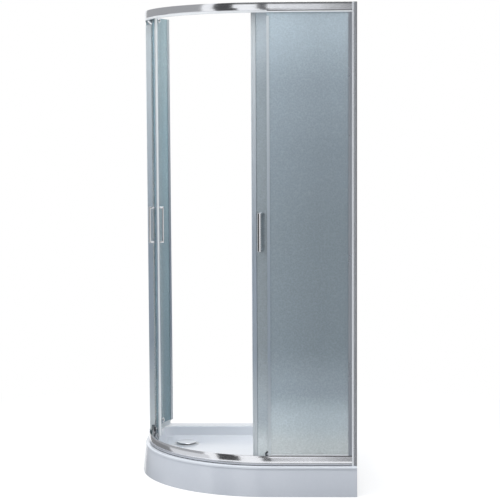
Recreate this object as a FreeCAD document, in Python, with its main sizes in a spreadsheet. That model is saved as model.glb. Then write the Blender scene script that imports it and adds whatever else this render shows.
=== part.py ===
"""Quadrant shower enclosure: a low tray with an apron, a curved two-rail frame and two sliding doors.

Millimetres, +Z up. The origin is the middle of the square footprint, on the floor. The room's walls
are the planes x = +tray_size / 2 and y = +tray_size / 2, and the curved front faces -X and -Y.
The doors are drawn open. The left half is the right half mirrored in the plane x = y.
"""
import FreeCAD, Part
import math
import os
import re

import Sketcher

V = FreeCAD.Vector

SIZES = {
    # tray
    "tray_size": 900, "tray_radius": 550, "tray_height": 120, "tray_wall": 5,
    "lip_inset": 11, "lip_depth": 10, "lip_edge_radius": 5,
    "rim_width": 65, "basin_depth": 42, "basin_slope": 18, "basin_corner": 62,
    "basin_edge_radius": 6, "basin_floor_radius": 10,
    "apron_wall": 4, "apron_flare": 13, "apron_play": 0.4,
    "clip_width": 30, "clip_reach": 26, "clip_wall": 3, "clip_spread": 26,
    # tray support
    "board_inset": 96, "board_thickness": 12,
    "tube_width": 25, "tube_wall": 2, "right_tube_inset": 200, "left_tube_inset": 320,
    "cross_tube_inset": 430, "front_foot_inset": 160, "back_foot_inset": 120, "side_foot_inset": 120,
    "pad_radius": 24, "pad_thickness": 9, "stud_radius": 5, "stud_play": 0.3, "nut_radius": 8.5,
    "nut_thickness": 6,
    # waste
    "waste_side_inset": 178, "waste_back_inset": 245, "waste_hole_radius": 43, "waste_neck_radius": 41.5,
    "flange_radius": 54, "flange_thickness": 2, "gasket_thickness": 2, "cover_radius": 44,
    "cover_rise": 5, "cover_thickness": 4, "cover_pin_radius": 5, "cover_pin_play": 0.08,
    "trap_radius": 50, "trap_bottom": 12, "trap_wall": 3,
    "outlet_radius": 20, "outlet_wall": 2.5, "outlet_level": 36, "outlet_end_from_wall": 30,
    "outlet_shoulder_radius": 24, "spigot_length": 60,
    # frame
    "overall_height": 1950, "frame_inset": 24, "frame_radius": 540, "face_bulge": 1.2,
    "rail_skin": 2, "bottom_rail_height": 41, "skirt_height": 11, "skirt_inset": 1, "groove_height": 1.6,
    "groove_depth": 1.2, "slot_outside": 3.2, "slot_inside": 9.6, "slot_floor": 4, "slot_skin": 1.5,
    "bottom_ledge_top": 31.8, "bottom_ledge_end": 21.7, "ledge_lip": 3.2,
    "top_face_height": 30, "top_lip_height": 9, "top_lip_inset": 2, "top_ledge_end": 21.7,
    "top_ledge_top": 9.2, "web_end": 34, "web_skin": 2.5, "web_lip": 3,
    # wall profiles and posts
    "wall_profile_width": 20, "wall_profile_skin": 1.8, "wall_profile_depth": 24.6, "wall_web": 2.4,
    "wall_hole_radius": 2.5, "wall_hole_margin": 115, "post_depth": 20, "post_start": 34,
    "post_end": 7, "post_play": 0.5, "post_skin": 1.8, "post_gap": 0.3, "cap_height": 6,
    "screw_radius": 2, "screw_head_radius": 4, "screw_head": 2, "screw_length": 12,
    "joiner_reach": 14,
    # fixed panels
    "fixed_offset": 5, "fixed_thickness": 4, "fixed_edge_from_wall": 351.5, "fixed_in_post": 8,
    "fixed_seat": 7, "fixed_top_play": 0.8, "edge_seal_wrap": 9, "edge_seal_skin": 1.5,
    "edge_fin_reach": 24.5, "edge_fin_width": 1.5, "edge_seal_end": 13, "seal_clear_of_rollers": 8,
    "gasket_play": 0.1,
    # doors, drawn open
    "door_offset": 36, "door_thickness": 5, "door_bottom": 26, "door_top": 8,
    "lead_roller_from_wall": 351.5, "roller_spacing": 203, "lead_overhang": 61.8, "trail_overhang": 113.9,
    "lead_seal_nose": 7, "lead_seal_clip": 12, "nose_half_width": 6, "trail_seal_nose": 4,
    "trail_seal_clip": 13, "seal_skin": 1.5, "seal_play": 0.2, "trail_fin_reach": 10,
    "trail_fin_width": 1.5, "wiper_skin": 1.2, "wiper_grip": 2.2, "wiper_base": 3,
    "wiper_drop": 18, "wiper_fin": 1.2, "wiper_end_play": 0.9,
    # rollers
    "wheel_outside": 20.4, "wheel_width": 6, "flange_width": 1.5, "groove_in_wheel": 1.3,
    "top_wheel_radius": 11, "bottom_wheel_radius": 11.5, "ledge_play": 0.3, "axle_radius": 3,
    "axle_play": 0.05, "axle_head_radius": 5, "axle_head": 1.6, "head_recess": 2.1,
    "spacer_radius": 6, "roller_hole_play": 0.3, "roller_cap_radius": 12, "roller_cap_thickness": 8,
    "cap_play": 0.15, "stop_length": 16, "stop_from_roller": 1.5, "stop_start": 12.5, "stop_width": 9,
    # handles
    "handle_overhang": 26, "handle_level": 1052, "handle_length": 154, "handle_reach": 28,
    "handle_bar": 8, "handle_width": 14, "handle_edge_radius": 2, "handle_stud_radius": 3,
    "stud_depth": 10, "handle_hole_play": 1, "washer_radius": 6.5, "washer_thickness": 1,
}

# Lengths that several pieces share, worked out from the sizes above.
DERIVED = {
    "half": "(tray_size / 2)",
    "tray_bend": "(tray_radius - half)",
    "face": "(half - frame_inset)",
    "frame_bend": "(frame_radius - face)",
    "rail_end": "(half - wall_profile_width)",
    "right_tube_x": "(half - right_tube_inset)",
    "left_tube_x": "(left_tube_inset - half)",
    "cross_tube_y": "(cross_tube_inset - half)",
    "front_foot_y": "(front_foot_inset - half)",
    "back_foot_y": "(half - back_foot_inset)",
    "side_foot_x": "(side_foot_inset - half)",
    "waste_x": "(waste_side_inset - half)",
    "waste_y": "(half - waste_back_inset)",
    "floor_top": "(tray_height - basin_depth)",
    "floor_under": "(floor_top - tray_wall)",
    "lip_under": "(tray_height - lip_depth)",
    "board_under": "(floor_under - board_thickness)",
    "tube_under": "(board_under - tube_width)",
    "bottom_rail_top": "(tray_height + bottom_rail_height)",
    "top_lip_under": "(overall_height - top_face_height - top_lip_height)",
    "post_bottom": "(bottom_rail_top + post_gap)",
    "post_top": "(top_lip_under - post_gap)",
    "fixed_bottom": "(tray_height + fixed_seat)",
    "fixed_top": "(top_lip_under + top_ledge_top - rail_skin - fixed_top_play)",
    "fixed_edge": "(half - fixed_edge_from_wall)",
    "track": "(frame_radius - door_offset)",
    "roller_angle": "(asin(roller_spacing / 2 / track) / 1 deg)",
    "door_x": "(half - lead_roller_from_wall + roller_spacing / 2)",
    "door_y": "(door_offset - face + track * cos(roller_angle))",
    "lead_angle": "(asin((roller_spacing / 2 + lead_overhang) / track) / 1 deg)",
    "trail_angle": "(asin((roller_spacing / 2 + trail_overhang) / track) / 1 deg)",
    "glass_lead": "(lead_angle - lead_seal_nose / track * 180 / pi)",
    "glass_trail": "(trail_angle - trail_seal_nose / track * 180 / pi)",
    "glass_bottom": "(tray_height + door_bottom)",
    "glass_top": "(overall_height - door_top)",
    "top_wheel_level": "(top_lip_under + top_ledge_top + ledge_play + top_wheel_radius)",
    "bottom_wheel_level": "(tray_height + bottom_ledge_top + ledge_play + bottom_wheel_radius)",
    "seal_low": "(bottom_wheel_level + bottom_wheel_radius + seal_clear_of_rollers)",
    "seal_high": "(top_lip_under - edge_seal_end)",
    "handle_angle": "(-asin((roller_spacing / 2 + handle_overhang) / track) / 1 deg)",
    "wall_hole_step": "((overall_height - tray_height) / 2 - wall_hole_margin)",
    "leg_level": "(handle_length / 2 - handle_bar / 2)",
}

doc = FreeCAD.newDocument("quadrant_shower_enclosure")
sheet = doc.addObject("Spreadsheet::Sheet", "Sizes")
for row, (alias, number) in enumerate(SIZES.items(), start=1):
    sheet.set(f"A{row}", alias)
    sheet.set(f"B{row}", str(number))
    sheet.setAlias(f"B{row}", alias)
doc.recompute()

NODES = {}


# ---------------------------------------------------------------- expressions and sketches

def formula(text):
    """Write a text of size names as an expression on the sheet."""
    words = re.compile(r"\b[a-z][a-z_]*\b")
    while any(word in DERIVED for word in words.findall(text)):
        text = words.sub(lambda found: DERIVED.get(found[0], found[0]), text)
    return words.sub(lambda found: f"Sizes.{found[0]}" if found[0] in SIZES else found[0], text)


def value(text):
    """The number that a text of size names stands for now."""
    result = sheet.evalExpression(formula(text))
    return float(getattr(result, "Value", result))


def bind(thing, **properties):
    """Bind an object's properties to texts of size names."""
    for name, text in properties.items():
        thing.setExpression(name.replace("__", "."), formula(text))


def place(thing, x="0", y="0", z="0", turn=None):
    """Bind an object's place and, where given, its turn about the vertical."""
    if turn is not None:
        thing.Placement = FreeCAD.Placement(V(), FreeCAD.Rotation(V(0, 0, 1), 1))
        bind(thing, Placement__Rotation__Angle=turn)
    bind(thing, Placement__Base__x=x, Placement__Base__y=y, Placement__Base__z=z)
    return thing


def node(label, thing):
    """Keep an object as a named sub-part."""
    thing.Label = label
    NODES[label] = thing
    return thing


def new_body(name):
    return doc.addObject("PartDesign::Body", name)


def new_sketch(body, name, plane="XY_Plane", lift="0"):
    """A sketch on one of the body's own planes, moved along the plane's normal by lift."""
    sketch = body.newObject("Sketcher::SketchObject", name)
    support = [item for item in body.Origin.OriginFeatures if item.Role == plane][0]
    sketch.AttachmentSupport = [(support, "")]
    sketch.MapMode = "FlatFace"
    if lift != "0":
        bind(sketch, AttachmentOffset__Base__z=lift)
    return sketch


def fix(sketch, edge, end, across, up):
    """Tie a point of a sketch to the origin by two bound distances."""
    for kind, text in (("DistanceX", across), ("DistanceY", up)):
        if text is not None:
            index = sketch.addConstraint(Sketcher.Constraint(kind, -1, 1, edge, end, value(text)))
            sketch.setExpression(f"Constraints[{index}]", formula(text))


def draw(sketch, steps, closed=True):
    """Draw an outline. A step is a corner (x, y), or (x, y, cx, cy) to reach it by an arc about (cx, cy)."""
    corners = [V(value(step[0]), value(step[1]), 0) for step in steps]
    first = sketch.GeometryCount
    ends = []
    count = len(steps) if closed else len(steps) - 1
    for index in range(count):
        start = corners[index]
        step = steps[(index + 1) % len(steps)]
        finish = corners[(index + 1) % len(steps)]
        if len(step) == 2:
            sketch.addGeometry(Part.LineSegment(start, finish), False)
            ends.append((1, 2))
            continue
        middle = V(value(step[2]), value(step[3]), 0)
        before = start - middle
        after = finish - middle
        leftwards = before.x * after.y - before.y * after.x > 0
        angles = [math.atan2(before.y, before.x), math.atan2(after.y, after.x)]
        if not leftwards:
            angles.reverse()
        whole = Part.Circle(middle, V(0, 0, 1), before.Length)
        sketch.addGeometry(Part.ArcOfCircle(whole, *angles), False)
        ends.append((1, 2) if leftwards else (2, 1))
    for index in range(count):
        edge = first + index
        fix(sketch, edge, ends[index][0], *steps[index][:2])
        if closed or index < count - 1:
            following = (index + 1) % count
            meeting = (edge, ends[index][1], first + following, ends[following][0])
            sketch.addConstraint(Sketcher.Constraint("Coincident", *meeting))
        else:
            fix(sketch, edge, ends[index][1], *steps[index + 1][:2])
        step = steps[(index + 1) % len(steps)]
        if len(step) == 4:
            chord = corners[(index + 1) % len(steps)] - corners[index]
            if abs(chord.y) > abs(chord.x):
                fix(sketch, edge, 3, step[2], None)
            else:
                fix(sketch, edge, 3, None, step[3])


def circle(sketch, x, y, radius):
    """Draw a circle with a bound centre and radius."""
    edge = sketch.addGeometry(Part.Circle(V(value(x), value(y), 0), V(0, 0, 1), value(radius)), False)
    fix(sketch, edge, 3, x, y)
    index = sketch.addConstraint(Sketcher.Constraint("Radius", edge, value(radius)))
    sketch.setExpression(f"Constraints[{index}]", formula(radius))


def pad(body, name, sketch, length, centred=False, backwards=False):
    """Push a sketch out into a solid."""
    feature = body.newObject("PartDesign::Pad", name)
    feature.Profile = sketch
    feature.SideType = "Symmetric" if centred else "One side"
    feature.Reversed = backwards
    bind(feature, Length=length)
    return feature


def pocket(body, name, sketch, length, backwards=False, centred=False):
    """Cut a sketch into a body, away from the sketch's normal unless backwards."""
    feature = body.newObject("PartDesign::Pocket", name)
    feature.Profile = sketch
    feature.SideType = "Symmetric" if centred else "One side"
    feature.Reversed = backwards
    bind(feature, Length=length)
    return feature


def loft(body, name, lower, upper, adds=True):
    """A ruled loft from one outline to another, added to the body or taken from it."""
    feature = body.newObject("PartDesign::AdditiveLoft" if adds else "PartDesign::SubtractiveLoft", name)
    feature.Profile = lower
    feature.Sections = [upper]
    feature.Ruled = True
    return feature


def fillet(body, base, radius, chosen):
    """Round the edges of a body's last feature that the test picks out."""
    doc.recompute()
    names = [f"Edge{i}" for i, edge in enumerate(base.Shape.Edges, start=1) if chosen(edge)]
    feature = body.newObject("PartDesign::Fillet", f"{base.Name}_round")
    feature.Base = (base, names)
    bind(feature, Radius=radius)
    return feature


def near_level(edge, level):
    """True where an edge lies flat at a level."""
    box = edge.BoundBox
    return abs(box.ZMin - level) < 0.01 and abs(box.ZMax - level) < 0.01


# ---------------------------------------------------------------- solids made of primitives

def box(name, x, y, z, length, width, height):
    """A block whose lowest corner is at x, y, z."""
    thing = doc.addObject("Part::Box", name)
    bind(thing, Length=length, Width=width, Height=height)
    return place(thing, x, y, z)


def upright(name, x, y, z, radius, height):
    """An upright cylinder."""
    thing = doc.addObject("Part::Cylinder", name)
    bind(thing, Radius=radius, Height=height)
    return place(thing, x, y, z)


def spoke(name, angle, outer, inner, level, radius):
    """A level cylinder along a radius of the door's circle, between two depths behind the rail's face."""
    thing = doc.addObject("Part::Cylinder", name)
    thing.Placement = FreeCAD.Placement(V(), FreeCAD.Rotation(V(1, 0, 0), 90))
    bind(thing, Radius=radius, Height=f"({inner}) - ({outer})")
    bind(thing, Placement__Rotation__Axis__x=f"cos({angle})", Placement__Rotation__Axis__y=f"sin({angle})")
    start = f"(frame_radius - ({inner}))"
    return place(thing, f"door_x + {start} * sin({angle})", f"door_y - {start} * cos({angle})", level)


def level_pipe(name, radius, length):
    """A level cylinder from the middle of the waste towards the back wall."""
    thing = doc.addObject("Part::Cylinder", name)
    thing.Placement = FreeCAD.Placement(V(), FreeCAD.Rotation(V(1, 0, 0), -90))
    bind(thing, Radius=radius, Height=length)
    return place(thing, "waste_x", "waste_y", "outlet_level")


def joined(name, things):
    """Several solids fused into one."""
    thing = doc.addObject("Part::MultiFuse", name)
    thing.Shapes = things
    return thing


def cut(name, base, tools):
    """A solid with one or more tools taken out of it."""
    thing = doc.addObject("Part::Cut", name)
    thing.Base = base
    thing.Tool = tools[0] if len(tools) == 1 else joined(f"{name}_tools", tools)
    return thing


def group(name, things):
    """Separate solids that share one node."""
    thing = doc.addObject("Part::Compound", name)
    thing.Links = things
    return thing


def mirrored(label, source):
    """The left twin of a right piece, mirrored in the plane x = y."""
    thing = doc.addObject("Part::Mirroring", label)
    thing.Source = source
    thing.Base = V(0, 0, 0)
    thing.Normal = V(1, -1, 0)
    return node(label, thing)


def pair(part, thing):
    """Keep a right piece and its left twin."""
    node(f"right_{part}", thing)
    mirrored(f"left_{part}", thing)


# ---------------------------------------------------------------- outlines in plan

def quadrant(inset, wall_inset):
    """The tray's plan outline: straight front, round corner, straight side, two walls."""
    front = f"(half - ({inset}))"
    wall = f"(half - ({wall_inset}))"
    return [
        (wall, f"-{front}"),
        ("tray_bend", f"-{front}"),
        (f"-{front}", "tray_bend", "tray_bend", "tray_bend"),
        (f"-{front}", wall),
        (wall, wall),
    ]


def basin(inset, corner):
    """The basin's plan outline: a quadrant with rounded wall corners."""
    edge = f"(half - ({inset}))"
    turn = f"({edge} - ({corner}))"
    return [
        (turn, f"-{edge}", turn, f"-{turn}"),
        ("tray_bend", f"-{edge}"),
        (f"-{edge}", "tray_bend", "tray_bend", "tray_bend"),
        (f"-{edge}", turn),
        (f"-{turn}", edge, f"-{turn}", turn),
        (turn, edge),
        (edge, turn, turn, turn),
        (edge, f"-{turn}"),
    ]


def sector(inner, outer, start, finish):
    """A curved strip about the door's centre, from one angle off -Y to another."""
    def spot(radius, angle):
        return f"({radius}) * sin({angle})", f"-({radius}) * cos({angle})"
    return [
        spot(outer, start),
        (*spot(outer, finish), "0", "0"),
        spot(inner, finish),
        (*spot(inner, start), "0", "0"),
    ]


# ---------------------------------------------------------------- tray

def make_tray_shell():
    """The moulded basin with its rim, lip and waste hole, one skin thick."""
    body = new_body("tray_shell")
    rim = new_sketch(body, "rim_outline", lift="lip_under")
    draw(rim, quadrant("lip_inset", "0"))
    pad(body, "rim_slab", rim, "lip_depth")

    under_top = new_sketch(body, "under_top", lift="lip_under")
    draw(under_top, basin("rim_width - tray_wall", "basin_corner + tray_wall"))
    under_floor = new_sketch(body, "under_floor", lift="floor_under")
    draw(under_floor, basin("rim_width + basin_slope - tray_wall", "basin_corner + tray_wall - basin_slope"))
    loft(body, "basin_outside", under_floor, under_top)

    top = new_sketch(body, "basin_top", lift="tray_height")
    draw(top, basin("rim_width", "basin_corner"))
    floor = new_sketch(body, "basin_floor", lift="floor_top")
    draw(floor, basin("rim_width + basin_slope", "basin_corner - basin_slope"))
    hollow = loft(body, "basin_inside", floor, top, adds=False)

    low = value("floor_top")
    high = value("tray_height")
    rounded = fillet(body, hollow, "basin_floor_radius", lambda edge: near_level(edge, low))
    reach = value("half - rim_width") + 0.1

    def inside(edge):
        limits = edge.BoundBox
        return near_level(edge, high) and max(abs(limits.XMin), abs(limits.XMax)) < reach
    rounded = fillet(body, rounded, "basin_edge_radius", inside)
    front = value("lip_inset - half")
    wall = value("half")

    def lip(edge):
        limits = edge.BoundBox
        return near_level(edge, high) and limits.XMin < wall - 1 and limits.YMin < wall - 1 and (
            abs(limits.XMin - front) < 0.1 or abs(limits.YMin - front) < 0.1)
    fillet(body, rounded, "lip_edge_radius", lip)

    relief = new_sketch(body, "rim_relief", lift="lip_under")
    draw(relief, quadrant("lip_inset + tray_wall", "tray_wall"))
    draw(relief, basin("rim_width - tray_wall", "basin_corner + tray_wall"))
    pocket(body, "rim_underside", relief, "lip_depth - tray_wall", backwards=True)

    waste = new_sketch(body, "waste_outline", lift="floor_top")
    circle(waste, "waste_x", "waste_y", "waste_hole_radius")
    pocket(body, "waste_hole", waste, "tray_wall * 4", centred=True)
    return node("tray_shell", body)


def make_front_apron():
    """The curved skirt below the lip, leaning out towards the floor."""
    body = new_body("front_apron")
    foot = new_sketch(body, "apron_foot")
    draw(foot, quadrant("0", "0"))
    head = new_sketch(body, "apron_head", lift="lip_under - apron_play")
    draw(head, quadrant("apron_flare", "0"))
    loft(body, "apron_outside", foot, head)
    inner_foot = new_sketch(body, "apron_inner_foot")
    draw(inner_foot, quadrant("apron_wall", "-apron_wall"))
    inner_head = new_sketch(body, "apron_inner_head", lift="lip_under - apron_play")
    draw(inner_head, quadrant("apron_flare + apron_wall", "-apron_wall"))
    loft(body, "apron_inside", inner_foot, inner_head, adds=False)
    return node("front_apron", body)


def make_apron_clips():
    """Three angle clips under the rim, behind the apron's top edge."""
    clips = []
    depth = "(apron_flare + apron_wall + apron_play)"
    for index, angle in enumerate(("0", "-clip_spread", "clip_spread")):
        body = new_body(f"apron_clip_{index}")
        side = new_sketch(body, f"clip_section_{index}", plane="YZ_Plane")
        back = f"-(tray_radius - {depth})"
        top = "(tray_height - tray_wall)"
        draw(side, [
            (back, f"{top} - clip_reach"),
            (f"{back} + clip_wall", f"{top} - clip_reach"),
            (f"{back} + clip_wall", f"{top} - clip_wall"),
            (f"{back} + clip_reach", f"{top} - clip_wall"),
            (f"{back} + clip_reach", top),
            (back, top),
        ])
        pad(body, f"clip_strip_{index}", side, "clip_width", centred=True)
        clips.append(place(body, "tray_bend", "tray_bend", turn=f"-45 + ({angle})"))
    return node("apron_clips", group("apron_clips", clips))


def make_support_board():
    """The stiffening board bonded under the basin's floor."""
    body = new_body("support_board")
    plan = new_sketch(body, "board_outline", lift="board_under")
    draw(plan, basin("board_inset", "basin_corner - basin_slope"))
    circle(plan, "waste_x", "waste_y", "flange_radius + board_thickness")
    pad(body, "board_slab", plan, "board_thickness")
    return node("support_board", body)


def foot_places():
    """Where the five feet stand."""
    places = [(x, y) for x in ("right_tube_x", "left_tube_x") for y in ("front_foot_y", "back_foot_y")]
    return places + [("side_foot_x", "cross_tube_y")]


def make_support_frame():
    """The welded frame of square tube: two rails front to back, a cross tube and a side arm."""
    reach = "(tube_width * 1.2)"
    runs = [
        (f"{tube} - tube_width / 2", f"front_foot_y - {reach}", "tube_width",
         f"back_foot_y - front_foot_y + 2 * {reach}", True)
        for tube in ("right_tube_x", "left_tube_x")
    ]
    runs.append(("left_tube_x", "cross_tube_y - tube_width / 2", "right_tube_x - left_tube_x",
                 "tube_width", False))
    runs.append((f"side_foot_x - {reach}", "cross_tube_y - tube_width / 2",
                 f"left_tube_x - side_foot_x + {reach}", "tube_width", False))
    outsides = []
    insides = []
    for index, (x, y, length, width, along_y) in enumerate(runs):
        outsides.append(box(f"tube_{index}", x, y, "tube_under", length, width, "tube_width"))
        side = "0" if along_y else "tube_wall"
        end = "tube_wall" if along_y else "0"
        insides.append(box(f"tube_hollow_{index}", f"{x} + {end}", f"{y} + {side}", "tube_under + tube_wall",
                           f"{length} - 2 * ({end})", f"{width} - 2 * ({side})",
                           "tube_width - 2 * tube_wall"))
    holes = [
        upright(f"stud_hole_{index}", x, y, "tube_under - tube_wall", "stud_radius + stud_play",
                "3 * tube_wall")
        for index, (x, y) in enumerate(foot_places())
    ]
    return node("support_frame", cut("support_frame", joined("frame_tubes", outsides), insides + holes))


def make_feet():
    """Five levelling feet: a plastic pad, and a threaded stud with its lock nut."""
    pads = []
    studs = []
    for index, (x, y) in enumerate(foot_places()):
        base = upright(f"pad_disc_{index}", x, y, "0", "pad_radius", "pad_thickness / 2")
        dome = doc.addObject("Part::Cone", f"pad_cone_{index}")
        bind(dome, Radius1="pad_radius", Radius2="stud_radius * 2", Height="pad_thickness / 2")
        place(dome, x, y, "pad_thickness / 2")
        pads.append(joined(f"pad_{index}", [base, dome]))
        stud = upright(f"stud_{index}", x, y, "pad_thickness", "stud_radius",
                       "tube_under + tube_width / 2 - pad_thickness")
        nut = doc.addObject("Part::Prism", f"nut_{index}")
        nut.Polygon = 6
        bind(nut, Circumradius="nut_radius", Height="nut_thickness")
        place(nut, x, y, "tube_under - nut_thickness")
        studs.append(joined(f"foot_stud_{index}", [stud, nut]))
    node("foot_pads", group("foot_pads", pads))
    node("foot_studs", group("foot_studs", studs))


def make_waste():
    """The waste: a trap under the floor, a gasket, a flange above, and a domed lift-off cover."""
    neck_under = "(floor_under - gasket_thickness)"
    trap_top = f"({neck_under} - flange_thickness)"
    shell = upright("trap_cup", "waste_x", "waste_y", "trap_bottom", "trap_radius",
                    f"{trap_top} - trap_bottom")
    collar = upright("trap_collar", "waste_x", "waste_y", trap_top, "flange_radius", "flange_thickness")
    outlet_reach = "half - outlet_end_from_wall - waste_y"
    outlet = level_pipe("trap_outlet", "outlet_radius", outlet_reach)
    shoulder = level_pipe("outlet_shoulder", "outlet_shoulder_radius", f"{outlet_reach} - spigot_length")
    bore = level_pipe("outlet_bore", "outlet_radius - outlet_wall", "half - waste_y")
    hollow = upright("trap_hollow", "waste_x", "waste_y", "trap_bottom + trap_wall",
                     "trap_radius - trap_wall", f"{trap_top} - trap_bottom - trap_wall * 2")
    throat = upright("trap_throat", "waste_x", "waste_y", "trap_bottom + trap_wall * 2",
                     "waste_neck_radius", "tray_height")
    outside = joined("trap_outside", [shell, collar, outlet, shoulder])
    node("waste_trap", cut("waste_trap", outside, [bore, hollow, throat]))

    ring = upright("gasket_disc", "waste_x", "waste_y", neck_under, "flange_radius", "gasket_thickness")
    middle = upright("gasket_hole", "waste_x", "waste_y", trap_top, "waste_hole_radius", "tray_height")
    node("waste_gasket", cut("waste_gasket", ring, [middle]))

    plate = upright("flange_plate", "waste_x", "waste_y", "floor_top", "flange_radius", "flange_thickness")
    neck = upright("flange_neck", "waste_x", "waste_y", trap_top, "waste_neck_radius",
                   f"floor_top - {trap_top}")
    passage = upright("flange_passage", "waste_x", "waste_y", "trap_bottom",
                      "waste_neck_radius - trap_wall", "tray_height")
    bridge = box("flange_bridge", "waste_x - waste_neck_radius + 1", "waste_y - trap_wall", trap_top,
                 "2 * waste_neck_radius - 2", "2 * trap_wall", f"floor_top - {trap_top}")
    boss = upright("flange_boss", "waste_x", "waste_y", trap_top, "cover_pin_radius * 2",
                   f"floor_top - {trap_top}")
    socket = upright("flange_socket", "waste_x", "waste_y", "trap_bottom",
                     "cover_pin_radius + cover_pin_play", "tray_height")
    ring_cut = cut("flange_ring", joined("flange_outside", [plate, neck]), [passage])
    node("waste_flange", cut("waste_flange", joined("flange_whole", [ring_cut, bridge, boss]), [socket]))

    body = new_body("waste_cover")
    half_section = new_sketch(body, "cover_section", plane="XZ_Plane")
    seat = "(floor_top + flange_thickness)"
    draw(half_section, [
        ("0", f"{trap_top} + 2"),
        ("cover_pin_radius", f"{trap_top} + 2"),
        ("cover_pin_radius", "floor_top + ledge_play"),
        ("cover_pin_radius * 2", "floor_top + ledge_play"),
        ("cover_pin_radius * 2", f"{seat} + cover_rise"),
        ("cover_radius", f"{seat} + cover_rise - 1"),
        ("cover_radius", f"{seat} + cover_rise + 1"),
        ("cover_radius - cover_thickness", f"{seat} + cover_rise + cover_thickness - 1"),
        ("0", f"{seat} + cover_rise + cover_thickness"),
    ])
    dome = body.newObject("PartDesign::Revolution", "cover_dome")
    dome.Profile = half_section
    dome.ReferenceAxis = (half_section, ["V_Axis"])
    dome.Angle = 360
    node("waste_cover", place(body, "waste_x", "waste_y"))


# ---------------------------------------------------------------- rails

def sweep_rail(label, section):
    """Run a rail's section along the frame: straight, round the corner, straight."""
    body = new_body(label)
    path = new_sketch(body, f"{label}_path")
    draw(path, [
        ("rail_end", "-face"),
        ("frame_bend", "-face"),
        ("-face", "frame_bend", "frame_bend", "frame_bend"),
        ("-face", "rail_end"),
    ], closed=False)
    profile = new_sketch(body, f"{label}_section", plane="YZ_Plane", lift="rail_end")
    draw(profile, [
        (f"({step[0]}) - face", step[1]) if len(step) == 2
        else (f"({step[0]}) - face", step[1], f"({step[2]}) - face", step[3])
        for step in section
    ])
    pipe = body.newObject("PartDesign::AdditivePipe", f"{label}_pipe")
    pipe.Profile = profile
    pipe.Spine = (path, ["Edge1", "Edge2", "Edge3"])
    return node(label, body)


def bulge_centre(height):
    """How far in front of the rail's face the centre of its bulge lies, seen from inside."""
    return f"((({height}) * ({height}) / 4 + face_bulge * face_bulge) / 2 / face_bulge)"


def make_bottom_rail():
    """The bottom rail: a stepped skirt, a bulged face, the glass slot and the rollers' ledge."""
    base = "tray_height"
    face_low = f"({base} + skirt_height + groove_height)"
    top = "bottom_rail_top"
    middle = f"(({face_low} + {top}) / 2)"
    round_depth = bulge_centre(f"{top} - {face_low}")
    sweep_rail("bottom_rail", [
        ("skirt_inset", base),
        ("skirt_inset", f"{base} + skirt_height"),
        ("face_bulge + groove_depth", f"{base} + skirt_height"),
        ("face_bulge + groove_depth", face_low),
        ("face_bulge", face_low),
        ("face_bulge", top, round_depth, middle),
        ("slot_outside", top),
        ("slot_outside", f"{base} + slot_floor"),
        ("slot_inside", f"{base} + slot_floor"),
        ("slot_inside", f"{base} + bottom_ledge_top"),
        ("bottom_ledge_end", f"{base} + bottom_ledge_top"),
        ("bottom_ledge_end", f"{base} + bottom_ledge_top - ledge_lip"),
        ("bottom_ledge_end - slot_skin", f"{base} + bottom_ledge_top - ledge_lip"),
        ("bottom_ledge_end - slot_skin", f"{base} + bottom_ledge_top - rail_skin"),
        ("slot_inside + slot_skin", f"{base} + bottom_ledge_top - rail_skin"),
        ("slot_inside + slot_skin", f"{base} + rail_skin"),
        ("bottom_ledge_end", f"{base} + rail_skin"),
        ("bottom_ledge_end", base),
    ])


def make_top_rail():
    """The top rail: a bulged face, a set-back lip, the glass slot, the rollers' ledge and the web."""
    low = "top_lip_under"
    face_low = f"({low} + top_lip_height)"
    top = "overall_height"
    ledge = f"({low} + top_ledge_top)"
    middle = f"(({face_low} + {top}) / 2)"
    round_depth = bulge_centre(f"{top} - {face_low}")
    sweep_rail("top_rail", [
        ("top_lip_inset", low),
        ("top_lip_inset", face_low),
        ("face_bulge", face_low),
        ("face_bulge", top, round_depth, middle),
        ("web_end", top),
        ("web_end", f"{top} - web_skin - web_lip"),
        ("web_end - slot_skin", f"{top} - web_skin - web_lip"),
        ("web_end - slot_skin", f"{top} - web_skin"),
        ("slot_outside", f"{top} - web_skin"),
        ("slot_outside", ledge),
        ("top_ledge_end", ledge),
        ("top_ledge_end", f"{ledge} - rail_skin"),
        ("slot_inside + slot_skin", f"{ledge} - rail_skin"),
        ("slot_inside + slot_skin", low),
        ("slot_inside", low),
        ("slot_inside", f"{ledge} - rail_skin"),
        ("top_lip_inset + slot_skin", f"{ledge} - rail_skin"),
        ("top_lip_inset + slot_skin", low),
    ])


# ---------------------------------------------------------------- wall profiles, posts, fixed panels

def make_wall_profiles():
    """The U profiles screwed to the walls, each with three wall holes and a plug in its top end."""
    body = new_body("right_wall_profile")
    plan = new_sketch(body, "wall_profile_section", lift="tray_height")
    inner = "(wall_profile_depth - wall_profile_skin)"
    draw(plan, [
        ("rail_end", "-face"),
        ("half", "-face"),
        ("half", "wall_profile_depth - face"),
        ("rail_end", "wall_profile_depth - face"),
        ("rail_end", f"{inner} - face"),
        ("half - wall_web", f"{inner} - face"),
        ("half - wall_web", "wall_profile_skin - face"),
        ("rail_end", "wall_profile_skin - face"),
    ])
    pad(body, "wall_profile_bar", plan, "overall_height - tray_height")
    holes = new_sketch(body, "wall_hole_rows", plane="YZ_Plane", lift="half - wall_web / 2")
    for step in ("-wall_hole_step", "0", "wall_hole_step"):
        circle(holes, "wall_profile_depth / 2 - face",
               f"(tray_height + overall_height) / 2 + ({step})", "wall_hole_radius")
    pocket(body, "wall_holes", holes, "wall_web * 2", centred=True)
    pair("wall_profile", body)

    plug = box("profile_plug", "rail_end + post_play", "wall_profile_skin + post_play - face",
               "overall_height - cap_height",
               "wall_profile_width - wall_web - 2 * post_play",
               "wall_profile_depth - 2 * wall_profile_skin - 2 * post_play", "cap_height")
    pair("profile_plug", plug)


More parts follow.
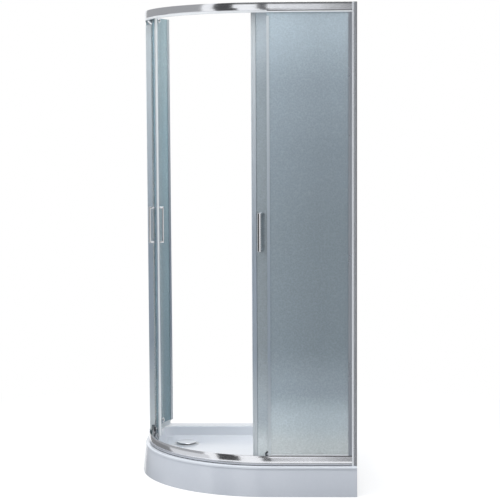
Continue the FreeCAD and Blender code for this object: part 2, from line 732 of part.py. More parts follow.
def make_posts():
    """The adjusting posts that slide into the wall profiles and hold the fixed glass."""
    body = new_body("right_post")
    plan = new_sketch(body, "post_section", lift="post_bottom")
    start = "(half - post_start)"
    finish = "(half - post_end)"
    near = "(wall_profile_skin + post_play)"
    far = "(wall_profile_depth - wall_profile_skin - post_play)"
    web = f"({start} + fixed_in_post + post_play)"
    draw(plan, [
        (start, f"{near} - face"),
        (finish, f"{near} - face"),
        (finish, f"{near} + post_skin - face"),
        (f"{web} + post_skin", f"{near} + post_skin - face"),
        (f"{web} + post_skin", f"{far} - post_skin - face"),
        (finish, f"{far} - post_skin - face"),
        (finish, f"{far} - face"),
        (web, f"{far} - face"),
        (web, "slot_inside + slot_skin - face"),
        (start, "slot_inside + slot_skin - face"),
        (start, "slot_inside - face"),
        (web, "slot_inside - face"),
        (web, f"{near} + post_skin - face"),
        (start, f"{near} + post_skin - face"),
    ])
    pad(body, "post_bar", plan, "post_top - post_bottom")
    screw_x = "(half - wall_profile_width / 2)"
    bores = []
    screws = []
    for index, step in enumerate(("-wall_hole_step", "0", "wall_hole_step")):
        level = f"((tray_height + overall_height) / 2 + ({step}) + screw_length * 3)"
        for name, radius, reach in (("bore", "screw_radius + ledge_play", "screw_length * 2"),
                                    ("shank", "screw_radius", "screw_length")):
            rod = doc.addObject("Part::Cylinder", f"post_{name}_{index}")
            rod.Placement = FreeCAD.Placement(V(), FreeCAD.Rotation(V(1, 0, 0), 90))
            bind(rod, Radius=radius, Height=reach)
            place(rod, screw_x, "wall_profile_depth - face + " + ("screw_length" if name == "bore" else "0"),
                  level)
            if name == "bore":
                bores.append(rod)
            else:
                head = doc.addObject("Part::Cone", f"post_screw_head_{index}")
                head.Placement = FreeCAD.Placement(V(), FreeCAD.Rotation(V(1, 0, 0), -90))
                bind(head, Radius1="screw_head_radius", Radius2="screw_radius", Height="screw_head")
                place(head, screw_x, "wall_profile_depth - face", level)
                screws.append(joined(f"post_screw_{index}", [rod, head]))
    tools = group("post_bores", bores)
    pair("post", cut("right_post_drilled", body, [tools]))
    pair("post_screws", group("post_screws", screws))
    return tools


def drill_wall_profiles(tools):
    """Put the post screws' holes through the wall profiles' inner legs."""
    body = NODES.pop("right_wall_profile")
    NODES.pop("left_wall_profile")
    body.Label = "right_wall_profile_blank"
    doc.getObject("left_wall_profile").Label = "left_wall_profile_blank"
    pair("wall_profile", cut("right_wall_profile_drilled", body, [tools]))


def make_joiners():
    """Blocks inside the rail ends that carry the rails on the wall profiles, top and bottom."""
    gap = "post_play"
    bottom = box("bottom_joiner", "rail_end - joiner_reach", f"slot_inside + slot_skin + {gap} - face",
                 f"tray_height + rail_skin + {gap}", f"joiner_reach + wall_profile_width - wall_web - {gap}",
                 f"bottom_ledge_end - slot_inside - slot_skin * 2 - 2 * {gap}",
                 f"bottom_ledge_top - 2 * rail_skin - 2 * {gap}")
    top = box("top_joiner", "rail_end - joiner_reach", f"slot_outside + {gap} - face",
              f"top_lip_under + top_ledge_top + {gap}",
              f"joiner_reach + wall_profile_width - wall_web - {gap}",
              f"top_ledge_end - slot_outside - 2 * {gap}",
              f"overall_height - cap_height - top_lip_under - top_ledge_top - 2 * {gap}")
    pair("rail_joiners", group("rail_joiners", [bottom, top]))


def make_fixed_panels():
    """The flat frosted panels, their free-edge seals and the gaskets in the rails."""
    start = "(half - post_start + fixed_in_post)"
    near = "(fixed_offset - face)"
    glass = box("fixed_glass", "fixed_edge", near, "fixed_bottom", f"{start} - fixed_edge",
                "fixed_thickness", "fixed_top - fixed_bottom")
    pair("fixed_glass", glass)

    body = new_body("edge_seal")
    plan = new_sketch(body, "edge_seal_section", lift="post_bottom")
    out = f"({near} - seal_play - edge_seal_skin)"
    back = f"({near} + fixed_thickness + seal_play + edge_seal_skin)"
    nose = "(fixed_edge - edge_seal_skin - seal_play)"
    draw(plan, [
        (nose, out),
        ("fixed_edge + edge_seal_wrap", out),
        ("fixed_edge + edge_seal_wrap", f"{out} + edge_seal_skin"),
        ("fixed_edge - seal_play", f"{out} + edge_seal_skin"),
        ("fixed_edge - seal_play", f"{back} - edge_seal_skin"),
        ("fixed_edge + edge_seal_wrap", f"{back} - edge_seal_skin"),
        ("fixed_edge + edge_seal_wrap", back),
        (nose, back),
    ])
    pad(body, "edge_seal_clip", plan, "seal_high - post_bottom")
    fin = new_sketch(body, "edge_fin_section", lift="seal_low")
    draw(fin, [
        (nose, f"{back} - edge_seal_skin / 2"),
        (f"{nose} + edge_fin_width", f"{back} - edge_seal_skin / 2"),
        (f"{nose} + edge_fin_width", "edge_fin_reach - face"),
        (nose, "edge_fin_reach - face"),
    ])
    pad(body, "edge_fin", fin, "seal_high - seal_low")
    pair("edge_seal", body)

    strips = []
    far = f"({start} - fixed_in_post - post_play)"
    outer = "slot_outside + gasket_play - face"
    inner = "slot_inside - gasket_play - face"
    on_glass = "fixed_offset - gasket_play - face"
    lip = "top_lip_inset + slot_skin + gasket_play - face"
    low_section = [
        (outer, "tray_height + slot_floor + gasket_play"),
        (inner, "tray_height + slot_floor + gasket_play"),
        (inner, "fixed_bottom"),
        (on_glass, "fixed_bottom"),
        (on_glass, "bottom_rail_top - gasket_play"),
        (outer, "bottom_rail_top - gasket_play"),
    ]
    high_section = [
        (lip, "top_lip_under + gasket_play"),
        (on_glass, "top_lip_under + gasket_play"),
        (on_glass, "fixed_top"),
        (lip, "fixed_top"),
    ]
    for name, section in (("low", low_section), ("high", high_section)):
        strip = new_body(f"gasket_{name}")
        profile = new_sketch(strip, f"gasket_section_{name}", plane="YZ_Plane", lift="frame_bend")
        draw(profile, section)
        pad(strip, f"gasket_strip_{name}", profile, f"{far} - frame_bend")
        strips.append(strip)
    pair("glazing_gaskets", group("glazing_gaskets", strips))


# ---------------------------------------------------------------- doors

def make_door_glass():
    """The curved door glass with its roller and handle holes."""
    body = new_body("door_blank")
    plan = new_sketch(body, "door_section", lift="glass_bottom")
    draw(plan, sector("track - door_thickness / 2", "track + door_thickness / 2",
                      "-glass_lead", "glass_trail"))
    pad(body, "door_sheet", plan, "glass_top - glass_bottom")
    place(body, "door_x", "door_y")
    holes = []
    outer = "door_offset - door_thickness"
    inner = "door_offset + door_thickness"
    for end, angle in (("lead", "-roller_angle"), ("trail", "roller_angle")):
        for side in ("top", "bottom"):
            holes.append(spoke(f"roller_hole_{side}_{end}", angle, outer, inner, f"{side}_wheel_level",
                               "spacer_radius + roller_hole_play"))
    for side, sign in (("lower", "-"), ("upper", "+")):
        holes.append(spoke(f"handle_hole_{side}", "handle_angle", outer, inner,
                           f"handle_level {sign} leg_level", "handle_stud_radius + handle_hole_play"))
    pair("door_glass", cut("right_door_pierced", body, holes))


def make_door_seals():
    """The magnetic leading seal, the trailing seal with its lip, and the wiper under the glass."""
    hold = "(door_thickness / 2 + seal_play)"
    skin = f"({hold} + seal_skin)"
    lead = new_body("leading_seal")
    plan = new_sketch(lead, "leading_seal_section", lift="glass_bottom")
    draw(plan, [
        ("-lead_seal_nose", "-nose_half_width"),
        ("-seal_skin", "-nose_half_width"),
        ("-seal_skin", f"-{skin}"),
        ("lead_seal_clip", f"-{skin}"),
        ("lead_seal_clip", f"-{hold}"),
        ("0", f"-{hold}"),
        ("0", hold),
        ("lead_seal_clip", hold),
        ("lead_seal_clip", skin),
        ("-seal_skin", skin),
        ("-seal_skin", "nose_half_width"),
        ("-lead_seal_nose", "nose_half_width"),
    ])
    pad(lead, "leading_seal_bar", plan, "glass_top - glass_bottom")
    place(lead, "door_x - track * sin(glass_lead)", "door_y - track * cos(glass_lead)", turn="-glass_lead")
    pair("leading_seal", lead)

    trail = new_body("trailing_seal")
    plan = new_sketch(trail, "trailing_seal_section", lift="glass_bottom")
    draw(plan, [
        ("trail_seal_nose", f"-{skin}"),
        ("trail_seal_nose", skin),
        ("-trail_seal_clip", skin),
        ("-trail_seal_clip", hold),
        ("0", hold),
        ("0", f"-{hold}"),
        ("-trail_seal_clip", f"-{hold}"),
        ("-trail_seal_clip", f"-{skin}"),
    ])
    pad(trail, "trailing_seal_bar", plan, "glass_top - glass_bottom")
    lip = new_sketch(trail, "trailing_lip_section", lift="seal_low")
    draw(lip, [
        ("trail_seal_nose - trail_fin_width", "-trail_fin_reach"),
        ("trail_seal_nose", "-trail_fin_reach"),
        ("trail_seal_nose", f"seal_skin / 2 - {skin}"),
        ("trail_seal_nose - trail_fin_width", f"seal_skin / 2 - {skin}"),
    ])
    pad(trail, "trailing_lip", lip, "seal_high - seal_low")
    place(trail, "door_x + track * sin(glass_trail)", "door_y - track * cos(glass_trail)", turn="glass_trail")
    pair("trailing_seal", trail)

    wiper = new_body("bottom_wiper")
    start = "-(glass_lead - (lead_seal_clip + wiper_end_play) / track * 180 / pi)"
    finish = "(glass_trail - (trail_seal_clip + wiper_end_play) / track * 180 / pi)"
    around = f"({hold} + wiper_skin)"
    clip = new_sketch(wiper, "wiper_clip_section", lift="glass_bottom - wiper_base")
    draw(clip, sector(f"track - {around}", f"track + {around}", start, finish))
    pad(wiper, "wiper_clip", clip, "wiper_base + wiper_grip")
    slot = new_sketch(wiper, "wiper_slot_section", lift="glass_bottom")
    draw(slot, sector(f"track - {hold}", f"track + {hold}", f"{start} - 1", f"{finish} + 1"))
    pocket(wiper, "wiper_slot", slot, "wiper_grip * 2", backwards=True)
    fin = new_sketch(wiper, "wiper_fin_section", lift="glass_bottom - wiper_base - wiper_drop")
    draw(fin, sector("track - wiper_fin / 2", "track + wiper_fin / 2", start, finish))
    pad(wiper, "wiper_blade", fin, "wiper_drop + wiper_base / 2")
    pair("bottom_wiper", place(wiper, "door_x", "door_y"))


def make_handles():
    """Square D handles on both faces of the door, with their studs and washers."""
    outer_seat = "(-door_thickness / 2 - washer_thickness)"
    inner_seat = "(door_thickness / 2 + washer_thickness + gasket_play)"
    for side, seat, outwards, inwards in (("outer", outer_seat, "-", "+"), ("inner", inner_seat, "+", "-")):
        body = new_body(f"{side}_handle")
        tip = f"{seat} {outwards} handle_reach"
        grip = f"{tip} {inwards} handle_bar"
        shape = new_sketch(body, f"{side}_handle_section", plane="YZ_Plane")
        end = "(handle_length / 2)"
        gap = f"({end} - handle_bar)"
        draw(shape, [
            (seat, f"-{end}"),
            (tip, f"-{end}"),
            (tip, end),
            (seat, end),
            (seat, gap),
            (grip, gap),
            (grip, f"-{gap}"),
            (seat, f"-{gap}"),
        ])
        bar = pad(body, f"{side}_handle_bar", shape, "handle_width", centred=True)
        rounded = fillet(body, bar, "handle_edge_radius", lambda edge: edge.Length > 0)
        doc.recompute()
        holes = new_sketch(body, f"{side}_handle_holes", plane="XZ_Plane")
        for level in ("-leg_level", "leg_level"):
            circle(holes, "0", level, "handle_stud_radius + gasket_play")
        stud_room = "2 * (door_thickness / 2 + stud_depth + washer_thickness)"
        pocket(body, f"{side}_stud_holes", holes, stud_room, centred=True)
        place(body, "door_x + track * sin(handle_angle)", "door_y - track * cos(handle_angle)",
              "handle_level", turn="handle_angle")
        pair(f"{side}_handle", body)

    studs = []
    washers = []
    reach = "(door_thickness / 2 + washer_thickness + stud_depth - 1)"
    for side, sign in (("lower", "-"), ("upper", "+")):
        level = f"handle_level {sign} leg_level"
        studs.append(spoke(f"handle_stud_{side}", "handle_angle", f"door_offset - {reach}",
                           f"door_offset + {reach}", level, "handle_stud_radius"))
        for where, outer, inner in (
                ("outer", "door_offset - door_thickness / 2 - washer_thickness",
                 "door_offset - door_thickness / 2"),
                ("inner", "door_offset + door_thickness / 2 + gasket_play",
                 "door_offset + door_thickness / 2 + gasket_play + washer_thickness")):
            disc = spoke(f"washer_{side}_{where}", "handle_angle", outer, inner, level, "washer_radius")
            hole = spoke(f"washer_hole_{side}_{where}", "handle_angle", f"{outer} - 1", f"{inner} + 1",
                         level, "handle_stud_radius + gasket_play")
            washers.append(cut(f"washer_{side}_{where}_ring", disc, [hole]))
    pair("handle_studs", group("handle_studs", studs))
    pair("handle_washers", group("handle_washers", washers))


def make_rollers():
    """Four grooved wheels on each door, with their axles, spacers and inner caps."""
    axles = []
    caps = []
    glass_face = "(door_offset - door_thickness / 2)"
    wheel_inside = "(wheel_outside + wheel_width)"
    for side in ("top", "bottom"):
        radius = f"{side}_wheel_radius"
        level = f"{side}_wheel_level"
        for end, angle in (("lead", "-roller_angle"), ("trail", "roller_angle")):
            tag = f"{side}_{end}"
            tread = spoke(f"tread_{tag}", angle, "wheel_outside", wheel_inside, level,
                          f"{radius} - groove_in_wheel")
            front = spoke(f"front_flange_{tag}", angle, "wheel_outside", "wheel_outside + flange_width",
                          level, radius)
            back = spoke(f"back_flange_{tag}", angle, f"{wheel_inside} - flange_width", wheel_inside,
                         level, radius)
            bore = spoke(f"bore_{tag}", angle, "wheel_outside - 1", f"{wheel_inside} + 1", level,
                         "axle_radius + axle_play")
            recess = spoke(f"recess_{tag}", angle, "wheel_outside - 1", "wheel_outside + head_recess",
                           level, "axle_head_radius + ledge_play")
            pair(f"{tag}_wheel", cut(f"{tag}_wheel", joined(f"wheel_blank_{tag}", [tread, front, back]),
                                     [bore, recess]))
            head_start = "(wheel_outside + head_recess - axle_head - axle_play)"
            head = spoke(f"axle_head_{tag}", angle, head_start, f"{head_start} + axle_head", level,
                         "axle_head_radius")
            shank = spoke(f"axle_shank_{tag}", angle, head_start, f"{glass_face} + door_thickness * 2",
                          level, "axle_radius")
            spacer = spoke(f"axle_spacer_{tag}", angle, f"{wheel_inside} + axle_play * 2",
                           f"{glass_face} + door_thickness", level, "spacer_radius")
            axles.append(joined(f"axle_{tag}", [head, shank, spacer]))
            seat = f"({glass_face} + door_thickness + cap_play)"
            rim = spoke(f"cap_rim_{tag}", angle, seat, f"{seat} + roller_cap_thickness * 0.6", level,
                        "roller_cap_radius")
            crown = spoke(f"cap_crown_{tag}", angle, seat, f"{seat} + roller_cap_thickness", level,
                          "roller_cap_radius * 0.75")
            hole = spoke(f"cap_hole_{tag}", angle, f"{seat} - 1",
                         f"{glass_face} + door_thickness * 2 + gasket_play", level,
                         "axle_radius + gasket_play")
            caps.append(cut(f"roller_cap_{tag}", joined(f"cap_blank_{tag}", [rim, crown]), [hole]))
    pair("roller_axles", group("roller_axles", axles))
    pair("roller_caps", group("roller_caps", caps))


def make_door_stops():
    """Rubber stops in the top rail, just behind the open doors' trailing rollers."""
    level = "(top_lip_under + top_ledge_top)"
    reach = "(roller_spacing / 2 + top_wheel_radius + stop_from_roller)"
    block = box("door_stop", f"door_x + {reach}", "stop_start - face", level, "stop_length", "stop_width",
                f"overall_height - web_skin - {level}")
    pair("door_stop", block)


# ---------------------------------------------------------------- build, check and write

def check(thing, label):
    """Stop at a piece that failed, is empty or is not a valid shape."""
    doubtful = [state for state in thing.State if state in ("Invalid", "Error")]
    if doubtful or thing.Shape.isNull() or not thing.Shape.isValid() or not thing.Shape.Solids:
        raise RuntimeError(f"{label} did not build: {thing.State}")


def main():
    make_tray_shell()
    make_front_apron()
    make_apron_clips()
    make_support_board()
    make_support_frame()
    make_feet()
    make_waste()
    make_bottom_rail()
    make_top_rail()
    make_wall_profiles()
    drill_wall_profiles(make_posts())
    make_joiners()
    make_fixed_panels()
    make_door_glass()
    make_door_seals()
    make_handles()
    make_rollers()
    make_door_stops()
    doc.recompute()

    for thing in doc.Objects:
        if {"Invalid", "Error"} & set(thing.State):
            raise RuntimeError(f"{thing.Name} did not build: {thing.State}")
    for label, thing in NODES.items():
        check(thing, label)
    os.makedirs("parts", exist_ok=True)
    for label, thing in NODES.items():
        thing.Shape.exportStep(f"parts/{label}.step")
    print(len(NODES), "nodes written")


main()
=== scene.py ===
"""Quadrant shower enclosure: looks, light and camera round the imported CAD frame. Metres, +Z up."""

import math

import bmesh
import bpy
from mathutils import Matrix, Vector


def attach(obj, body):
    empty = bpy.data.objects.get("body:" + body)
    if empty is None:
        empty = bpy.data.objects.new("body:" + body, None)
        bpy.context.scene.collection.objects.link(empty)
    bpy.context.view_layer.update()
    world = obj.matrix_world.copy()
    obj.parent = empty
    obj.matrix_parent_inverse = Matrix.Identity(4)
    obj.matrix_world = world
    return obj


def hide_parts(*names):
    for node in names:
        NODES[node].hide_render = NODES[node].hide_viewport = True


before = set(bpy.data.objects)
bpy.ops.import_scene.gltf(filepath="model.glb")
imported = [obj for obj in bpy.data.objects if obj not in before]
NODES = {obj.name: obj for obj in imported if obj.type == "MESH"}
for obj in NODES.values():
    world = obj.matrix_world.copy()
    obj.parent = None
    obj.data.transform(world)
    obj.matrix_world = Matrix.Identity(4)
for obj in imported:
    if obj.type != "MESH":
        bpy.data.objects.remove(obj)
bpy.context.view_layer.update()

# ---------------------------------------------------------------- sizes, in metres, as the CAD has them

HALF = 0.450
TRAY_BEND = 0.100
TRAY_TOP = 0.120
TRAY_SKIN = 0.005
FLOOR_TOP = 0.078
FACE = 0.426
FRAME_BEND = 0.114
FACE_BULGE = 0.0012
RAIL_END = 0.430
OVERALL = 1.950
TOP_LIP_UNDER = 1.911
BOTTOM_RAIL_TOP = 0.161
TRACK = 0.504
DOOR_CENTRE = (0.200, 0.10367)
DOOR_GLASS = 0.005
GLASS_LOW = 0.146
GLASS_HIGH = 1.942
GLASS_LEAD = math.radians(18.110)
GLASS_TRAIL = math.radians(24.847)
ROLLER_ANGLE = math.radians(11.618)
ROLLER_LEVELS = (0.1636, 1.9315)
FIXED_START = HALF - 0.3515
FIXED_LENGTH = 0.3255
FIXED_OFFSET = 0.005
FIXED_GLASS = 0.004
FIXED_LOW = 0.127
FIXED_HIGH = 1.9174
HANDLE_ANGLE = math.radians(-14.654)
HANDLE_LEVEL = 1.052
HANDLE_LENGTH = 0.154
HANDLE_REACH = 0.028
HANDLE_BAR = 0.008
WASTE = (-0.272, 0.205)
WASTE_HOLE = 0.043
SIDES = ("right", "left")
MM = 0.001

# How finely curved shapes are divided, and the angle in degrees from which an edge is kept crisp.
HOLE_STEPS = 64
CORNER_STEPS = 10
TRAY_STEPS = 72
BEND_STEPS = 96
BULGE_STEPS = 12
DOOR_COLUMNS = 56
CRISP = 35


def place_object(name, data):
    """A new object in the scene."""
    thing = bpy.data.objects.new(name, data)
    bpy.context.scene.collection.objects.link(thing)
    return thing


def mesh_from(build, name):
    """What was built, as a mesh."""
    mesh = bpy.data.meshes.new(name)
    build.to_mesh(mesh)
    build.free()
    return mesh


# ---------------------------------------------------------------- camera

CAMERA_AT = (0.19737, -6.42680, 1.48192)
CAMERA_YAW = -0.028069
CAMERA_PITCH = 0.082759
CAMERA_ROLL = -0.005466
CAMERA_LENS = 110.137


def make_camera():
    """The photograph's camera: a long lens a little above the middle, level to half a degree."""
    data = bpy.data.cameras.new("camera")
    data.sensor_width = 36
    data.lens = CAMERA_LENS
    data.clip_start = 0.05
    data.clip_end = 100
    camera = place_object("camera", data)
    ahead = Vector((
        math.sin(CAMERA_YAW) * math.cos(CAMERA_PITCH),
        math.cos(CAMERA_YAW) * math.cos(CAMERA_PITCH),
        -math.sin(CAMERA_PITCH),
    ))
    right = Vector((math.cos(CAMERA_YAW), -math.sin(CAMERA_YAW), 0))
    up = right.cross(ahead)
    cosine = math.cos(CAMERA_ROLL)
    sine = math.sin(CAMERA_ROLL)
    axes = (right * cosine + up * sine, up * cosine - right * sine, -ahead)
    turn = Matrix(axes).transposed()
    camera.matrix_world = Matrix.Translation(CAMERA_AT) @ turn.to_4x4()
    bpy.context.scene.camera = camera


# ---------------------------------------------------------------- node groups and materials

def wire(tree, node, inputs):
    """Give a node's inputs their numbers or colours, or link them to sockets."""
    for name, source in inputs.items():
        if isinstance(source, bpy.types.NodeSocket):
            tree.links.new(source, node.inputs[name])
        else:
            node.inputs[name].default_value = source


def add(tree, kind, inputs=None, **settings):
    """A node of a kind, with its settings and its inputs."""
    node = tree.nodes.new(kind)
    for name, setting in settings.items():
        setattr(node, name, setting)
    wire(tree, node, inputs or {})
    return node


def math_node(tree, operation, first, second):
    """The result of one calculation on two values, each a socket or a number."""
    return add(tree, "ShaderNodeMath", {0: first, 1: second}, operation=operation).outputs[0]


def map_range(tree, source, start, finish, low=0.0, high=1.0):
    """A value moved from one range into another."""
    limits = {"From Min": start, "From Max": finish, "To Min": low, "To Max": high}
    return add(tree, "ShaderNodeMapRange", {"Value": source, **limits}).outputs[0]


# The places of the colour sockets on a mix node.
MIX_FACTOR = 0
MIX_FIRST = 6
MIX_SECOND = 7
MIX_RESULT = 2


def mix_colours(tree, factor, first, second):
    """Two colours mixed by a value."""
    sources = {MIX_FACTOR: factor, MIX_FIRST: first, MIX_SECOND: second}
    return add(tree, "ShaderNodeMix", sources, data_type="RGBA").outputs[MIX_RESULT]


def scale_colour(tree, colour, factor):
    """A colour made darker or lighter by a value."""
    return add(tree, "ShaderNodeVectorMath", {0: colour, "Scale": factor}, operation="SCALE").outputs[0]


def new_group(name, inputs, outputs):
    """A shader node group with its named inputs and outputs."""
    group = bpy.data.node_groups.new(name, "ShaderNodeTree")
    for label, kind, number in inputs:
        socket = group.interface.new_socket(label, in_out="INPUT", socket_type=kind)
        if number is not None:
            socket.default_value = number
    for label in outputs:
        group.interface.new_socket(label, in_out="OUTPUT", socket_type=FLOAT)
    return group, group.nodes.new("NodeGroupInput").outputs, group.nodes.new("NodeGroupOutput")


FLOAT = "NodeSocketFloat"
VECTOR = "NodeSocketVector"


def make_grain_group():
    """Fine even grain: a height for bump and a value round 0.5, at a given size of grain."""
    group, given, made = new_group(
        "fine_grain",
        [("Vector", VECTOR, None), ("Scale", FLOAT, 400.0), ("Stretch", FLOAT, 1.0)],
        ["Height", "Value"],
    )
    combine = add(group, "ShaderNodeCombineXYZ", {0: 1.0, 1: 1.0, 2: given["Stretch"]})
    factors = {0: given["Vector"], 1: combine.outputs[0]}
    scaled = add(group, "ShaderNodeVectorMath", factors, operation="MULTIPLY")
    fine = add(group, "ShaderNodeTexNoise", {"Detail": 3.0, "Roughness": 0.6})
    broad = add(group, "ShaderNodeTexNoise", {"Detail": 2.0, "Roughness": 0.5})
    for node, factor in ((fine, 1.0), (broad, 0.12)):
        scale = math_node(group, "MULTIPLY", given["Scale"], factor)
        wire(group, node, {"Vector": scaled.outputs[0], "Scale": scale})
    total = math_node(group, "ADD", fine.outputs["Fac"], broad.outputs["Fac"])
    value = math_node(group, "MULTIPLY", total, 0.5)
    wire(group, made, {"Height": fine.outputs["Fac"], "Value": value})
    return group


def make_smudge_group():
    """Broad soft patches, for roughness that varies a little over a hand's width."""
    group, given, made = new_group(
        "soft_patches",
        [("Vector", VECTOR, None), ("Scale", FLOAT, 6.0), ("Low", FLOAT, 0.0), ("High", FLOAT, 1.0)],
        ["Value"],
    )
    sources = {"Vector": given["Vector"], "Scale": given["Scale"]}
    detail = {"Detail": 4.0, "Roughness": 0.55, "Distortion": 0.4}
    noise = add(group, "ShaderNodeTexNoise", {**sources, **detail})
    span = map_range(group, noise.outputs["Fac"], 0.3, 0.7, given["Low"], given["High"])
    wire(group, made, {"Value": span})
    return group


def make_fabric_group():
    """Patterned glass: small cells pressed into the face, warped and broken up by noise."""
    group, given, made = new_group(
        "pressed_fabric",
        [("Vector", VECTOR, None), ("Scale", FLOAT, 160.0)],
        ["Height", "Value"],
    )
    slower = math_node(group, "MULTIPLY", given["Scale"], 0.4)
    warp = add(group, "ShaderNodeTexNoise", {"Vector": given["Vector"], "Scale": slower, "Detail": 2.0})
    moved = {0: warp.outputs["Color"], 1: (0.006, 0.006, 0.006), 2: given["Vector"]}
    shift = add(group, "ShaderNodeVectorMath", moved, operation="MULTIPLY_ADD")
    cells = add(group, "ShaderNodeTexVoronoi", {"Smoothness": 0.7, "Randomness": 1.0}, feature="SMOOTH_F1")
    speck = add(group, "ShaderNodeTexNoise", {"Detail": 3.0, "Roughness": 0.65})
    for node, factor in ((cells, 1.0), (speck, 1.8)):
        scale = math_node(group, "MULTIPLY", given["Scale"], factor)
        wire(group, node, {"Vector": shift.outputs[0], "Scale": scale})
    pits = math_node(group, "MULTIPLY", cells.outputs["Distance"], 0.7)
    both = math_node(group, "ADD", pits, speck.outputs["Fac"])
    wire(group, made, {"Height": both, "Value": math_node(group, "MULTIPLY", both, 0.6)})
    return group


GRAIN = make_grain_group()
PATCHES = make_smudge_group()
FABRIC = make_fabric_group()


def place_group(tree, group, vector, **values):
    """A shader node group in a material, with its own values; gives its outputs."""
    return add(tree, "ShaderNodeGroup", {"Vector": vector, **values}, node_tree=group).outputs


def new_material(name, **shader):
    """A material with its Principled BSDF, its tree and its object coordinates."""
    material = bpy.data.materials.new(name)
    material.use_nodes = True
    tree = material.node_tree
    principled = tree.nodes["Principled BSDF"]
    wire(tree, principled, {label.replace("_", " "): number for label, number in shader.items()})
    where = add(tree, "ShaderNodeTexCoord")
    return material, tree, principled, where.outputs["Object"]


def surface(tree, principled, colour, roughness, height, strength, depth):
    """Wire colour, roughness and a bump of a given strength and depth into the shader."""
    raised = add(tree, "ShaderNodeBump", {"Strength": strength, "Distance": depth, "Height": height})
    wire(tree, principled, {"Base Color": colour, "Roughness": roughness, "Normal": raised.outputs[0]})


def srgb(red, green, blue):
    """A colour given as 0 to 255 display values, made linear."""
    return (*[((level / 255 + 0.055) / 1.055) ** 2.4 for level in (red, green, blue)], 1)


def grained(name, dark, light, rough, scale, depth, stretch, patch, shader):
    """A general surface: fine grain in bump and colour, soft patches in roughness."""
    material, tree, principled, where = new_material(name, **shader)
    grain = place_group(tree, GRAIN, where, Scale=scale, Stretch=stretch)
    patches = place_group(tree, PATCHES, where, Scale=patch, Low=rough[0], High=rough[1])
    tone = mix_colours(tree, grain["Value"], srgb(*dark), srgb(*light))
    surface(tree, principled, tone, patches["Value"], grain["Height"], 1.0, depth)
    return material


GRAZING_TINT = (176, 212, 226)


def frosted(name, painted_shading, free_edge):
    """Frosted patterned glass with painted light and shade: its tone changes with height, paler where more
    light falls, and by a factor towards the free edge.
    """
    material, tree, principled, where = new_material(
        name, Transmission_Weight=0.5, IOR=1.5, Specular_IOR_Level=0.45)
    fabric = place_group(tree, FABRIC, where, Scale=150.0)
    patches = place_group(tree, PATCHES, where, Scale=2.2, Low=0.16, High=0.24)
    split = add(tree, "ShaderNodeSeparateXYZ", {0: where}).outputs
    # Painted light and shade: the pane's tone by height.
    ramp = add(tree, "ShaderNodeValToRGB", {0: map_range(tree, split["Z"], TRAY_TOP, OVERALL)})
    ramp.color_ramp.interpolation = "EASE"
    stops = ramp.color_ramp.elements
    for stop, (position, colour) in zip(stops, (painted_shading[0], painted_shading[-1])):
        stop.position = position
        stop.color = srgb(*colour)
    for position, colour in painted_shading[1:-1]:
        stops.new(position).color = srgb(*colour)
    grazing = add(tree, "ShaderNodeLayerWeight", {"Blend": 0.35})
    body = mix_colours(tree, grazing.outputs["Facing"], ramp.outputs[0], srgb(*GRAZING_TINT))
    speck = map_range(tree, fabric["Value"], 0.35, 0.75, 0.88, 1.1)
    along = math_node(tree, "MAXIMUM", split["X"], split["Y"])
    by_edge = map_range(tree, along, 0.10, 0.30, free_edge, 1.0)
    shade = scale_colour(tree, body, math_node(tree, "MULTIPLY", speck, by_edge))
    surface(tree, principled, shade, patches["Value"], fabric["Height"], 0.6, 0.0006)
    return material


SEAL_PAINTED_SHADING = ((186, 198, 211), (246, 252, 255))


def clear_seal():
    """Clear drawn plastic: fine lines along its length, and painted light that makes it paler towards the top
    and the foot.
    """
    material, tree, principled, where = new_material(
        "clear_seal", Transmission_Weight=0.35, IOR=1.46, Specular_IOR_Level=0.6)
    grain = place_group(tree, GRAIN, where, Scale=220.0, Stretch=0.03)
    patches = place_group(tree, PATCHES, where, Scale=5.0, Low=0.12, High=0.20)
    split = add(tree, "ShaderNodeSeparateXYZ", {0: where}).outputs
    # Painted light: paler towards the top and the foot.
    top = map_range(tree, split["Z"], 0.9, 1.9)
    foot = map_range(tree, split["Z"], 0.55, 0.2)
    middle, end = SEAL_PAINTED_SHADING
    tone = mix_colours(tree, math_node(tree, "MAXIMUM", top, foot), srgb(*middle), srgb(*end))
    lines = map_range(tree, grain["Value"], 0.0, 1.0, 0.92, 1.04)
    shade = scale_colour(tree, tone, lines)
    surface(tree, principled, shade, patches["Value"], grain["Height"], 1.0, 0.00004)
    return material


COAT = {"Coat_Weight": 0.2, "Coat_Roughness": 0.08}
METAL = {"Metallic": 1.0}
ZINC = {"Metallic": 0.9}
GLASS_EDGE = {"Transmission_Weight": 0.3, "IOR": 1.5}

